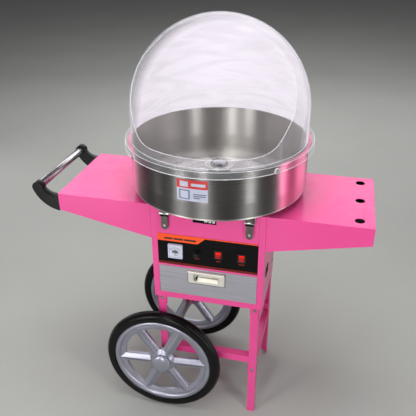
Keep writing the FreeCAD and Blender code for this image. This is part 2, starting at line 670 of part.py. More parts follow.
def make_drive():
    plate_top = 768.0
    plate = rod(70, (0, 0, plate_top - 4), (0, 0, 1), 4)
    can = rod(52, (0, 0, 622), (0, 0, 1), plate_top - 4 - 622)
    end_bell = Part.makeCone(30, 50, 10, V(0, 0, 612), V(0, 0, 1))
    boss = rod(18, (0, 0, plate_top), (0, 0, 1), 10)
    bore = rod(SHAFT_RADIUS + RUN_CLEARANCE, (0, 0, 560), (0, 0, 1), 300)
    node("motor", cut(fuse([plate, can, end_bell, boss]), [bore]))
    mounts = []
    for x, y, z in mount_places(plate_top):
        pad = rod(8, (x, y, z), (0, 0, 1), BOWL_BOTTOM - SHEET - plate_top)
        mounts.append(fuse([pad, rod(3.9, (x, y, z), (0, 0, 1), BOWL_BOTTOM - plate_top - 0.3)]))
    node("vibration_mounts", *mounts)
    shaft_length = SAUCER_TOP + 9 - 574
    node("spindle_shaft", rod(SHAFT_RADIUS, (0, 0, 574), (0, 0, 1), shaft_length))
    rings = []
    for z in (578, 592):
        rings.append(ring(16, SHAFT_RADIUS, (0, 0, z), (0, 0, 1), 9))
    node("slip_rings", *rings)
    holder = box(18, 24, -12, 12, 575, 606)
    arm = box(18, 46, -12, 12, 606, 611.6)
    brushes = []
    for z in (582.5, 596.5):
        brushes.append(rod(3.2, (16.2, 0, z), (1, 0, 0), 14))
    node("brush_holder", fuse([holder, arm] + brushes))


def make_spinner():
    """Flat saucer, heater ring standing on it, and a slotted crown over both."""
    top = SAUCER_TOP
    radius = SAUCER_RADIUS
    shaft = SHAFT_RADIUS
    saucer = [(shaft, top - 12), (14, top - 12), (16, top - 4), (radius - 3, top - 4), (radius, top - 1)]
    saucer += [(radius, top + 2), (radius - 1.5, top + 2), (radius - 3, top), (shaft, top)]
    node("spinner_base", turned(saucer))
    seat = top + GAP
    node("heater_band", ring(18.5, 15.5, (0, 0, seat), (0, 0, 1), 7))
    inside = [(10, seat), (10, top + 10.4), (14, top + 10.7), (19.3, top + 9.3), (22.6, top + 7)]
    inside += [(CROWN_RADIUS - 2, top + 3.6), (CROWN_RADIUS - 2, seat)]
    outside = [(CROWN_RADIUS, seat), (CROWN_RADIUS, top + 4), (CROWN_RADIUS - 1.6, top + 8)]
    outside += [(20.6, top + 11.2), (14, top + 13.2), (0, top + 14)]
    crown = turned([(shaft, seat)] + inside + outside + [(0, top + 9.5), (shaft, top + 9.5)])
    for index in range(CROWN_SLOTS):
        half = CROWN_SLOT_HALF_WIDTH
        slot = box(20, CROWN_RADIUS + 5, -half, half, top + 2.1, top + 10.2)
        slot.rotate(V(0, 0, 0), V(0, 0, 1), CROWN_PHASE + index * 360.0 / CROWN_SLOTS)
        crown = crown.cut(slot)
    node("spinner_cap", crown)


# ---------------------------------------------------------------- bowl and dome
def make_bowl():
    r = BOWL_RADIUS
    wall = BOWL_WALL
    z = BOWL_BOTTOM
    top = BOWL_RIM
    outside = [(36, z + 12), (36, z + 30), (38, z + 30), (38, z + 14), (150, z + 14)]
    outside += [(156, z + wall), (r - BOWL_CORNER, z + wall)]
    corner = []
    for step in range(1, 6):
        angle = math.radians(step * 18)
        corner.append((math.sin(angle), math.cos(angle)))
    inner_radius = BOWL_CORNER - wall
    centre_r = r - BOWL_CORNER
    centre_z = z + BOWL_CORNER
    outside += [(centre_r + inner_radius * s, centre_z - inner_radius * c) for s, c in corner]
    outside += [(r - wall, top - 4), (r, top), (r + 5, top)]
    outside += [(r + 8, top - 3), (r + 8, top - 7), (r + 5, top - 9)]
    outside += [(r + 5, top - 7), (r + 6, top - 5.5), (r + 5, top - 3), (r + 1.5, top - 3), (r, top - 6)]
    outside += [(centre_r + BOWL_CORNER * s, centre_z - BOWL_CORNER * c) for s, c in reversed(corner)]
    outside += [(centre_r, z), (153, z), (147, z + 12)]
    node("bowl", turned(outside))
    # Catches: two for the front latches, two fixed tongues over the rear edge of the deck.
    catches = []
    front = -CABINET_HALF_DEPTH
    for x in (-LATCH_X, LATCH_X):
        web = box(x - 11, x + 11, front + 2, front + 3.5, 769, z)
        ledge = box(x - 11, x + 11, front - 8.5, front + 3.5, 769, 770.5)
        flange = box(x - 11, x + 11, front - 8, front + 3.5, z - SHEET, z)
        catches.append(fuse([web, ledge, flange]))
        rear = -front
        web = box(x - 11, x + 11, rear + 1, rear + 2.5, 754, z)
        tongue = box(x - 11, x + 11, rear + 0.2, rear + 2.5, 754, 757)
        flange = box(x - 11, x + 11, rear - 8, rear + 2.5, z - SHEET, z)
        catches.append(fuse([web, tongue, flange]))
    node("bowl_catches", *catches)


def dome_cutter():
    """Solid that leaves the serving opening: lower lip, rounded corner, leaning edge."""
    lean_low = V(0, -171, LIP_Z + 19)
    lean_mid = V(0, -106, 1077)
    lean_high = V(0, -62, 1170)
    over = V(0, -57, 1300)
    lip_end = V(0, -214, LIP_Z)
    far = -400
    corner_mid = V(0, -191, LIP_Z + 5)
    edges = [Part.LineSegment(V(0, far, LIP_Z), lip_end).toShape()]
    edges.append(Part.Arc(lip_end, corner_mid, lean_low).toShape())
    edges.append(Part.Arc(lean_low, lean_mid, lean_high).toShape())
    edges.append(Part.LineSegment(lean_high, over).toShape())
    edges.append(Part.LineSegment(over, V(0, far, 1300)).toShape())
    edges.append(Part.LineSegment(V(0, far, 1300), V(0, far, LIP_Z)).toShape())
    return moved(Part.Face(Part.Wire(edges)).extrude(V(800, 0, 0)), -400)


def make_dome():
    r = DOME_RADIUS
    wall = DOME_WALL
    cz = DOME_CENTRE_Z
    ball = Part.makeSphere(r, V(0, 0, cz), V(0, 0, 1), 0, 90, 360)
    ball_inner = Part.makeSphere(r - wall, V(0, 0, cz), V(0, 0, 1), 0, 90, 360)
    flange_low = BOWL_RIM + 0.3
    cylinder = ring(r, r - wall, (0, 0, flange_low), (0, 0, 1), cz - flange_low)
    shell = fuse([ball.cut(ball_inner), cylinder])
    shell = shell.cut(dome_cutter())
    skirt = FLANGE_RADIUS - wall
    flange_profile = [(r - wall, flange_low), (skirt, flange_low), (skirt, SKIRT_BOTTOM)]
    flange_profile += [(FLANGE_RADIUS, SKIRT_BOTTOM), (FLANGE_RADIUS, flange_low + 1.5)]
    flange_profile += [(FLANGE_RADIUS - 1.5, flange_low + wall), (r - wall, flange_low + wall)]
    flange = turned(flange_profile)
    holes = []
    screws = []
    for index in range(4):
        angle = math.radians(45 + 90 * index)
        direction = (math.cos(angle), math.sin(angle), 0)
        start = tuple(component * (FLANGE_RADIUS - 10) for component in direction)
        holes.append(rod(3.05, (start[0], start[1], 924), direction, 20))
        out = tuple(component * (FLANGE_RADIUS + 0.1) for component in direction)
        inward = (-direction[0], -direction[1], 0)
        head = Part.makeCone(6.0, 4.4, 3.2, V(out[0], out[1], 924), V(*direction))
        shank = rod(3.0, (out[0], out[1], 924), inward, wall + 0.2)
        back = tuple(component * (FLANGE_RADIUS - wall - 0.1) for component in direction)
        washer = rod(5.0, (back[0], back[1], 924), inward, 1.2)
        screws.append(fuse([head, shank, washer]))
    node("dome", cut(fuse([shell, flange]), holes))
    node("dome_screws", *screws)


# ---------------------------------------------------------------- latches and small parts
def make_latches():
    front = -CABINET_HALF_DEPTH
    pivot_y = front - LATCH_PIVOT[0]
    pivot_z = LATCH_PIVOT[1]
    link_y = front - LATCH_LINK[0]
    link_z = LATCH_LINK[1]
    wire = 1.2
    bases = []
    for name, x in (("left", -LATCH_X), ("right", LATCH_X)):
        plate = box(x - 12, x + 12, front - 1, front, 744, 764)
        ears = []
        for sx in (-1, 1):
            x0, x1 = sorted((x + sx * 10.6, x + sx * 11.8))
            ears.append(box(x0, x1, front - 8.5, front, 750, 758))
        pin = rod(1.5, (x - 11.8, pivot_y, pivot_z), (1, 0, 0), 23.6)
        bases.append(fuse([plate] + ears + [pin]))
        parts = [box(x - 10, x + 10, front - 9.0, front - 7.8, 702, 756.4)]
        parts.append(rod(10, (x, front - 9.0, 702), (0, 1, 0), 1.2))
        for sx in (-1, 1):
            x0, x1 = sorted((x + sx * 8.6, x + sx * 10.0))
            parts.append(box(x0, x1, front - 9.0, front - 2.5, 738, 756.4))
        holes = [rod(1.55, (x - 20, pivot_y, pivot_z), (1, 0, 0), 40)]
        holes.append(rod(wire + RUN_CLEARANCE, (x - 20, link_y, link_z), (1, 0, 0), 40))
        holes.append(rod(2.2, (x, front - 12, 706), (0, 1, 0), 12))
        node("latch_lever_%s" % name, cut(fuse(parts), holes))
        bar_z = 771.9
        low_bar = rod(wire, (x - 15, link_y, link_z), (1, 0, 0), 30)
        high_bar = rod(wire, (x - 15, link_y, bar_z), (1, 0, 0), 30)
        arms = [rod(wire, (x + sx * 15, link_y, link_z), (0, 0, 1), bar_z - link_z) for sx in (-1, 1)]
        corners = []
        for sx in (-1, 1):
            for z in (link_z, bar_z):
                corners.append(Part.makeSphere(wire, V(x + sx * 15, link_y, z)))
        node("latch_loop_%s" % name, fuse([low_bar, high_bar] + arms + corners))
    node("latch_bases", *bases)


def make_small_parts():
    """Power inlet and the small screws that show."""
    body = box(135, SIDE_PANEL_X, -31, -3, 482, 504)
    flange = box(SIDE_PANEL_X, SIDE_PANEL_X + 2.4, -38, 4, 479, 507)
    well = box(144, 170, -29, -5, 484, 502)
    pins = [box(143, 157, y - 1, y + 1, z - 2, z + 2) for y, z in ((-24, 491), (-17, 495.5), (-10, 491))]
    node("power_inlet", fuse([cut(fuse([body, flange]), [well])] + pins))
    front = -CABINET_HALF_DEPTH
    screws = []
    for x in (-140, 140):
        for z in (590, 740):
            screws.append(pan_head_bolt((x, -front, z), (0, -1, 0), 6, 2.0, nut=False))
    wall_x = -(CABINET_HALF_WIDTH + SHELF_LENGTH)
    for y in (-149, 149):
        for z in (722, 746):
            screws.append(pan_head_bolt((wall_x + SHEET, y, z), (-1, 0, 0), 10, 2.0, nut=False))
    node("cabinet_screws", *screws)
    for name in ("rear_panel", "left_shelf", "handle_bracket_front", "handle_bracket_rear"):
        shape = NODES[name]
        for screw in screws:
            if shape.BoundBox.intersect(screw.BoundBox):
                shape = shape.cut(screw)
        NODES[name] = shape


# ---------------------------------------------------------------- build and write
def main():
    make_stand()
    make_wheels()
    make_front_frame()
    make_fascia()
    make_side_panels()
    make_rear_panel()
    make_base_tray()
    make_divider()
    make_top_deck()
    make_shelves()
    make_handle()
    make_drawer()
    make_control_panel()
    make_voltmeter()
    make_regulator()
    make_switches()
    make_drive()
    make_spinner()
    make_bowl()
    make_dome()
    make_latches()
    make_small_parts()
    os.makedirs("parts", exist_ok=True)
    for name, shape in NODES.items():
        shape = moved(shape, AXIS_X)
        shape.exportStep("parts/%s.step" % name)
    print(len(NODES), "nodes")


main()
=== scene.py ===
import math

import bmesh
import bpy
from mathutils import Matrix, Vector


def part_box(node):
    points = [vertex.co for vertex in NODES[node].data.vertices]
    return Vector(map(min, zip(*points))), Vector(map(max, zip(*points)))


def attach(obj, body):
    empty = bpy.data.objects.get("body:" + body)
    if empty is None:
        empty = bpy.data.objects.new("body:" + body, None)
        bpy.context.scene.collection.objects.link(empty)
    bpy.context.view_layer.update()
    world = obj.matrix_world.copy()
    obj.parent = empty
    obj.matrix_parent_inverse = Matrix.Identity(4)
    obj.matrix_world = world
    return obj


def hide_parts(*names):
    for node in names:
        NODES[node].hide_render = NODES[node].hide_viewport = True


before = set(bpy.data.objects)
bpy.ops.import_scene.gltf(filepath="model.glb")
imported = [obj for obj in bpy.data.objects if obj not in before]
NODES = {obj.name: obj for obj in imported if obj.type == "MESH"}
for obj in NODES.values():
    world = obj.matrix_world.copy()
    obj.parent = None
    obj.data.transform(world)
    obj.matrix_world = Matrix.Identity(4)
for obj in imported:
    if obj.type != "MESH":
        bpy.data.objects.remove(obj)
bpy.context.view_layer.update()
MM = 0.001
SMOOTH_ANGLE = math.radians(32)


# ---------------------------------------------------------------- places taken from the frame
def centre(node):
    """Middle of a CAD node's box."""
    low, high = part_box(node)
    return (low + high) / 2


BOWL_LOW, BOWL_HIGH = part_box("bowl")
AXIS = Vector((centre("bowl").x, centre("bowl").y, 0.0))
DOME_LOW, DOME_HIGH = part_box("dome")
PANEL_LOW, PANEL_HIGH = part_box("control_panel")

# ---------------------------------------------------------------- sizes, in metres and degrees
SPOKES = 6
SPOKE_STEP = 60
SPOKE_PHASE = 4.4                   # how far the first spoke stands above +X
TYRE_SEAT = 0.1638
DOME_RADIUS = 0.257
DOME_WALL = 0.003
DOME_CENTRE_Z = 1.020
DOME_SCREW_Z = 0.924
BOWL_RADIUS = 0.260
PRINT_DEPTH = 0.0002
FLOOR_HALF_SIZE = 30.0
TUBE_SIDES = 8
LATCH_EYELET_Z = 0.706
LABEL_FACE, LABEL_PRINT, LABEL_OVERPRINT = 0.2602, 0.2606, 0.2609   # radii of its layers

# bounds used by the materials
RING_PITCH = 900.0                  # polishing rings per metre
BOWL_SKIN_RADII = (0.2588, 0.2594)  # between the bowl's inner and outer face; the outer face is painted darker, a painted shade
BOWL_PAINTED_HIGHLIGHT_RADII = (0.178, 0.194)  # where the painted highlight in the middle of its floor ends
BOWL_FLOOR_LEVELS = (0.8355, 0.8420)
BOWL_PAINTED_REFLECTION_REACH = (0.190, 0.215)   # distance from the spindle along X where the painted pink reflection of the shelves sets in
SHELF_END_DEPTH = 0.054
ROCKER_FACET_LEVELS = (0.6222, 0.6232)
PAINTED_HAZE_LEAN = (0.0, 1.0, -0.45)       # across the leaning edge of the cover's opening; the painted haze deepens along it
PAINTED_HAZE_REACH = (-0.53, -0.41)


# ---------------------------------------------------------------- mesh helpers
def new_object(name, bm):
    """Turn a bmesh into a linked object with smooth faces and sharp edges by angle."""
    bmesh.ops.recalc_face_normals(bm, faces=bm.faces)
    for face in bm.faces:
        face.smooth = True
    for edge in bm.edges:
        if len(edge.link_faces) == 2 and edge.calc_face_angle(0.0) > SMOOTH_ANGLE:
            edge.smooth = False
    mesh = bpy.data.meshes.new(name)
    bm.to_mesh(mesh)
    bm.free()
    obj = bpy.data.objects.new(name, mesh)
    bpy.context.scene.collection.objects.link(obj)
    return obj


def add_revolve(bm, profile, origin, axis, segments):
    """Closed (radius, height) loop in metres, turned about the Z or Y axis through origin."""
    rings = []
    for radius, height in profile:
        if radius < 1e-7:
            rings.append([bm.verts.new(place_on(origin, axis, 0.0, height, 0.0))] * segments)
            continue
        loop = []
        for index in range(segments):
            turn = 2 * math.pi * index / segments
            loop.append(bm.verts.new(place_on(origin, axis, radius, height, turn)))
        rings.append(loop)
    for ring, following in zip(rings, rings[1:] + rings[:1]):
        for index in range(segments):
            other = (index + 1) % segments
            corners = [ring[index], ring[other], following[other], following[index]]
            unique = list(dict.fromkeys(corners))
            if len(unique) > 2:
                bm.faces.new(unique)


def place_on(origin, axis, radius, height, turn):
    """Point of a turned surface."""
    across = radius * math.cos(turn)
    along = radius * math.sin(turn)
    if axis == "Z":
        return origin + Vector((across, along, height))
    return origin + Vector((across, height, along))


def revolve(name, profile, origin, axis, segments):
    """Turned object."""
    bm = bmesh.new()
    add_revolve(bm, profile, origin, axis, segments)
    return new_object(name, bm)


def add_prism(bm, outline, push, bevel=0.0, segments=2):
    """Polygon of 3D points pushed along a vector, with its edges rounded."""
    low = [bm.verts.new(point) for point in outline]
    high = [bm.verts.new(Vector(point) + Vector(push)) for point in outline]
    faces = [bm.faces.new(low), bm.faces.new(list(reversed(high)))]
    count = len(outline)
    for index in range(count):
        other = (index + 1) % count
        faces.append(bm.faces.new([low[index], high[index], high[other], low[other]]))
    if bevel:
        edges = list({edge for face in faces for edge in face.edges})
        bmesh.ops.bevel(bm, geom=edges, offset=bevel, segments=segments, profile=0.5, affect="EDGES",
                        clamp_overlap=True)


def add_box(bm, low, high, bevel=0.0, segments=2):
    """Box between two corners, with rounded edges."""
    outline = [Vector((low[0], low[1], low[2])), Vector((high[0], low[1], low[2])),
               Vector((high[0], high[1], low[2])), Vector((low[0], high[1], low[2]))]
    add_prism(bm, outline, (0, 0, high[2] - low[2]), bevel, segments)


def rounded(points, radius, steps):
    """2D polygon with its corners rounded; radius is one number or one per corner."""
    radii = radius if isinstance(radius, (list, tuple)) else [radius] * len(points)
    result = []
    count = len(points)
    for index, corner in enumerate(points):
        corner = Vector(corner)
        before = Vector(points[index - 1]) - corner
        after = Vector(points[(index + 1) % count]) - corner
        r = radii[index]
        if r <= 0:
            result.append(corner)
            continue
        half = before.angle(after) / 2
        reach = min(r / math.tan(half), before.length * 0.49, after.length * 0.49)
        start = corner + before.normalized() * reach
        end = corner + after.normalized() * reach
        for step in range(steps + 1):
            t = step / steps
            blend = (1 - t) ** 2 * start + 2 * t * (1 - t) * corner + t ** 2 * end
            result.append(blend)
    return result


def arc(cx, cy, radius, start, end, steps):
    """Points of a 2D arc, angles in degrees."""
    points = []
    for step in range(steps + 1):
        angle = math.radians(start + (end - start) * step / steps)
        points.append((cx + radius * math.cos(angle), cy + radius * math.sin(angle)))
    return points


def cut_with(target, cutter):
    """Exact boolean difference, applied, with the cutter removed."""
    modifier = target.modifiers.new("cut", "BOOLEAN")
    modifier.operation = "DIFFERENCE"
    modifier.solver = "EXACT"
    modifier.object = cutter
    bake_modifiers(target)
    bpy.data.objects.remove(cutter)


def bake_modifiers(obj):
    """Replace an object's mesh with its evaluated one."""
    depsgraph = bpy.context.evaluated_depsgraph_get()
    mesh = bpy.data.meshes.new_from_object(obj.evaluated_get(depsgraph))
    obj.modifiers.clear()
    obj.data = mesh


def add_bevel(obj, width, segments=2, angle=40):
    """Weld, then round the edges sharper than an angle in degrees, and keep flat faces flat."""
    weld = obj.modifiers.new("weld", "WELD")
    weld.merge_threshold = 0.00002
    bevel = obj.modifiers.new("bevel", "BEVEL")
    bevel.width = width
    bevel.segments = segments
    bevel.limit_method = "ANGLE"
    bevel.angle_limit = math.radians(angle)
    bevel.harden_normals = True
    bevel.use_clamp_overlap = True


def publish(obj, material, body, replaces=()):
    """Give a piece its material, its body and the nodes that it stands for."""
    obj.data.materials.clear()
    obj.data.materials.append(material)
    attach(obj, body)
    if replaces:
        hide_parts(*replaces)


# ---------------------------------------------------------------- material helpers
class Shader:
    """Small wrapper round a material's node tree with one Principled shader."""

    def __init__(self, name, **sockets):
        self.material = bpy.data.materials.new(name)
        self.material.use_nodes = True
        self.tree = self.material.node_tree
        self.bsdf = self.tree.nodes["Principled BSDF"]
        for key, value in sockets.items():
            self.bsdf.inputs[key.replace("_", " ")].default_value = value

    def node(self, kind, **settings):
        node = self.tree.nodes.new(kind)
        for key, value in settings.items():
            setattr(node, key, value)
        return node

    def link(self, source, target):
        self.tree.links.new(source, target)

    def coords(self, scale=(1, 1, 1), offset=(0, 0, 0)):
        """Object coordinates, which are the frame's own metres, scaled."""
        source = self.node("ShaderNodeTexCoord")
        mapping = self.node("ShaderNodeMapping")
        mapping.inputs["Scale"].default_value = scale
        mapping.inputs["Location"].default_value = offset
        self.link(source.outputs["Object"], mapping.inputs["Vector"])
        return mapping.outputs["Vector"]

    def noise(self, vector, scale, detail, roughness=0.5, distortion=0.0):
        node = self.node("ShaderNodeTexNoise")
        node.inputs["Scale"].default_value = scale
        node.inputs["Detail"].default_value = detail
        node.inputs["Roughness"].default_value = roughness
        node.inputs["Distortion"].default_value = distortion
        self.link(vector, node.inputs["Vector"])
        return node.outputs["Fac"]

    def remap(self, value, low, high, start=0.3, end=0.7):
        """Map start..end to low..high; the defaults suit a noise texture's usual range."""
        node = self.node("ShaderNodeMapRange")
        node.inputs["From Min"].default_value = start
        node.inputs["From Max"].default_value = end
        node.inputs["To Min"].default_value = low
        node.inputs["To Max"].default_value = high
        self.link(value, node.inputs["Value"])
        return node.outputs["Result"]

    def mix(self, factor, first, second):
        """Blend of two colours, each a constant or another node's output."""
        node = self.node("ShaderNodeMix", data_type="RGBA")
        for socket in node.inputs:
            value = {"A": first, "B": second}.get(socket.name)
            if socket.type == "RGBA" and isinstance(value, tuple):
                socket.default_value = value
            elif socket.type == "RGBA" and value is not None:
                self.link(value, socket)
        self.link(factor, node.inputs["Factor"])
        return [out for out in node.outputs if out.type == "RGBA"][0]

    def math(self, operation, *values, **settings):
        """Math node; each value is an output or a number."""
        node = self.node("ShaderNodeMath", operation=operation, **settings)
        for socket, value in zip(node.inputs, values):
            if isinstance(value, (int, float)):
                socket.default_value = value
            else:
                self.link(value, socket)
        return node.outputs[0]

    def axes(self, vector):
        """A vector's X, Y and Z outputs."""
        node = self.node("ShaderNodeSeparateXYZ")
        self.link(vector, node.inputs["Vector"])
        return node.outputs

    def measure(self, vector, direction):
        """How far a point lies along a direction."""
        node = self.node("ShaderNodeVectorMath", operation="DOT_PRODUCT")
        node.inputs[1].default_value = direction
        self.link(vector, node.inputs[0])
        return node.outputs["Value"]

    def bump(self, height, strength, distance):
        node = self.node("ShaderNodeBump")
        node.inputs["Strength"].default_value = strength
        node.inputs["Distance"].default_value = distance
        self.link(height, node.inputs["Height"])
        self.link(node.outputs["Normal"], self.bsdf.inputs["Normal"])

    def colour(self, output):
        self.link(output, self.bsdf.inputs["Base Color"])

    def rough(self, output):
        self.link(output, self.bsdf.inputs["Roughness"])


def rgb(red, green, blue):
    return (red, green, blue, 1.0)


def inside_shelf(shader):
    """1 on the inner faces of the hollow right shelf, 0 on its outside."""
    low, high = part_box("right_shelf")
    skin = 0.0005
    unbounded = 9.0
    slope = (high.z - low.z - SHELF_END_DEPTH) / (high.x - low.x)
    spans = [((1, 0, 0), low.x, high.x), ((0, 1, 0), low.y, high.y), ((0, 0, 1), 0.0, high.z),
             ((-slope, 0, 1), low.z - slope * low.x, unbounded)]
    mask = None
    for direction, start, end in spans:
        along = shader.measure(shader.coords(), direction)
        for compare, limit in (("GREATER_THAN", start + skin), ("LESS_THAN", end - skin)):
            within = shader.math(compare, along, limit)
            mask = shader.math("MULTIPLY", mask, within) if mask else within
    return mask


def powder_coat(name, base, deep, painted_shade_mask=None):
    """Glossy powder coat: faint orange peel, slow drift, small scuffs; near black as painted shade where a
    mask is given.
    """
    shader = Shader(name, Metallic=0.0, Coat_Weight=0.2, Coat_Roughness=0.12, Specular_IOR_Level=0.4)
    place = shader.coords()
    drift = shader.noise(place, 3.5, 2.0)
    paint = shader.mix(shader.remap(drift, 0.0, 1.0), base, deep)
    if painted_shade_mask:
        # Inside a hollow the coat is painted near black, a painted shade for the dark seen through its holes.
        paint = shader.mix(painted_shade_mask(shader), paint, rgb(0.004, 0.002, 0.003))
    shader.colour(paint)
    smudge = shader.noise(place, 22.0, 5.0, 0.6, 0.6)
    shader.rough(shader.remap(smudge, 0.27, 0.42))
    shader.bump(shader.noise(place, 420.0, 2.0), 0.10, 0.0004)
    return shader.material


def round_coords(shader, pitch_around, pitch_out):
    """(angle, height, radius) about the spindle axis, for turned steel."""
    source = shader.node("ShaderNodeTexCoord")
    place = shader.axes(source.outputs["Object"])
    aside = shader.math("SUBTRACT", place["X"], AXIS.x)
    angle = shader.math("ARCTAN2", place["Y"], aside)
    square = shader.math("ADD", shader.math("MULTIPLY", place["Y"], place["Y"]),
                         shader.math("MULTIPLY", aside, aside))
    radius = shader.math("SQRT", square)
    join = shader.node("ShaderNodeCombineXYZ")
    shader.link(shader.math("MULTIPLY", angle, pitch_around), join.inputs["X"])
    shader.link(shader.math("MULTIPLY", place["Z"], pitch_out), join.inputs["Y"])
    shader.link(shader.math("MULTIPLY", radius, pitch_out), join.inputs["Z"])
    return join.outputs["Vector"]


def ring_band(shader, value, low, high, bounds):
    """Ramp between two radii or heights of round_coords."""
    return shader.remap(value, low, high, bounds[0] * RING_PITCH, bounds[1] * RING_PITCH)


def spun_steel(name):
    """Stainless sheet polished on a lathe: fine rings and stretched reflections.

    The outer wall is painted darker than the inner as painted shade, and pink towards both sides as a painted
    reflection of the shelves; the middle of the floor is painted near white as a painted highlight.
    """
    shader = Shader(name, Metallic=1.0, Anisotropic=1.0, Anisotropic_Rotation=0.25)
    tangent = shader.node("ShaderNodeTangent", direction_type="RADIAL", axis="Z")
    shader.link(tangent.outputs["Tangent"], shader.bsdf.inputs["Tangent"])
    rings = round_coords(shader, 1.2, RING_PITCH)
    grain = shader.noise(rings, 1.0, 3.0, 0.6)
    place = shader.axes(rings)
    # The outer wall is painted darker than the inner one, a painted shade.
    outside = ring_band(shader, place["Z"], 0.0, 1.0, BOWL_SKIN_RADII)
    # Towards both sides the outer wall is painted pink, a painted reflection of the shelves.
    aside = shader.node("ShaderNodeVectorMath", operation="LENGTH")
    shader.link(shader.coords((1.0, 0.0, 0.0), (-AXIS.x, 0.0, 0.0)), aside.inputs[0])
    painted_shelf_reflection = shader.remap(aside.outputs["Value"], 0.0, 1.0, *BOWL_PAINTED_REFLECTION_REACH)
    wall = shader.mix(painted_shelf_reflection, rgb(0.19, 0.182, 0.176), rgb(0.95, 0.22, 0.44))
    # The middle of the floor is painted near white, a painted highlight.
    bright = ring_band(shader, place["Z"], 1.0, 0.0, BOWL_PAINTED_HIGHLIGHT_RADII)
    inside = shader.mix(bright, rgb(0.68, 0.66, 0.625), rgb(1.0, 0.985, 0.95))
    shade = shader.mix(outside, inside, wall)
    shader.colour(shader.mix(shader.remap(grain, 0.0, 0.16), shade, rgb(0.75, 0.74, 0.72)))
    smudge = shader.noise(shader.coords(), 9.0, 4.0, 0.6)
    duller_floor = ring_band(shader, place["Y"], 0.12, 0.0, BOWL_FLOOR_LEVELS)
    shader.rough(shader.math("ADD", shader.remap(smudge, 0.42, 0.48), duller_floor))
    shader.bump(grain, 0.12, 0.0002)
    return shader.material


def brushed_sheet(name, direction, tint=(0.60, 0.60, 0.62), deep=(0.47, 0.47, 0.49),
                  rough=(0.30, 0.42), pitch=420, metallic=1.0):
    """Flat brushed sheet: grain stretched along one axis."""
    shader = Shader(name, Metallic=metallic, Anisotropic=0.5)
    stretch = {"X": (6, pitch, pitch), "Y": (pitch, 6, pitch), "Z": (pitch, pitch, 6)}[direction]
    grain = shader.noise(shader.coords(stretch), 1.0, 4.0, 0.75)
    shader.colour(shader.mix(shader.remap(grain, 0.0, 1.0), rgb(*deep), rgb(*tint)))
    shader.rough(shader.remap(grain, rough[0], rough[1]))
    shader.bump(grain, 0.15, 0.0002)
    return shader.material


def bright_metal(name, colour, low, high):
    """Plated or drawn metal with faint haze."""
    shader = Shader(name, Metallic=1.0)
    haze = shader.noise(shader.coords(), 60.0, 4.0)
    dark = tuple(value * 0.86 for value in colour)
    shader.colour(shader.mix(shader.remap(haze, 0.0, 1.0), rgb(*dark), rgb(*colour)))
    shader.rough(shader.remap(haze, low, high))
    shader.bump(haze, 0.04, 0.0003)
    return shader.material


def moulded(name, colour, rough, grain=900.0, depth=0.15, **extra):
    """Moulded plastic or rubber with a fine grain."""
    shader = Shader(name, Metallic=0.0, **extra)
    place = shader.coords()
    drift = shader.noise(place, 14.0, 4.0, 0.6)
    light = tuple(min(1.0, value * 1.25 + 0.001) for value in colour)
    shader.colour(shader.mix(shader.remap(drift, 0.0, 1.0), rgb(*colour), rgb(*light)))
    shader.rough(shader.remap(drift, rough[0], rough[1]))
    shader.bump(shader.noise(place, grain, 2.0), depth, 0.0003)
    return shader.material


def rocker_plastic(name):
    """Red rocker: upper facet painted bright as a painted highlight, lower facet painted deeper red as
    painted shade, and a faint painted glow.
    """
    shader = Shader(name, Metallic=0.0, Specular_IOR_Level=0.15, Roughness=0.4,
                    Emission_Color=(1.0, 0.03, 0.015, 1.0))
    place = shader.coords()
    # Above this level the facet is painted bright, a painted highlight; below it deeper red, a painted shade.
    painted_lit_facet = shader.remap(shader.axes(place)["Z"], 0.0, 1.0, *ROCKER_FACET_LEVELS)
    shader.colour(shader.mix(painted_lit_facet, rgb(0.26, 0.004, 0.004), rgb(0.85, 0.012, 0.006)))
    # Faint painted glow as emission.
    painted_glow = shader.noise(place, 300.0, 3.0)
    shader.link(shader.remap(painted_glow, 0.10, 0.16), shader.bsdf.inputs["Emission Strength"])
    return shader.material


def silver_paint(name):
    """Metallic silver paint over moulded plastic."""
    shader = Shader(name, Metallic=0.8, Coat_Weight=0.3, Coat_Roughness=0.15)
    place = shader.coords()
    drift = shader.noise(place, 18.0, 4.0, 0.6)
    shader.colour(shader.mix(shader.remap(drift, 0.0, 1.0), rgb(0.345, 0.345, 0.42), rgb(0.41, 0.41, 0.49)))
    shader.rough(shader.remap(drift, 0.27, 0.36))
    shader.bump(shader.noise(place, 700.0, 2.0), 0.03, 0.0002)
    return shader.material


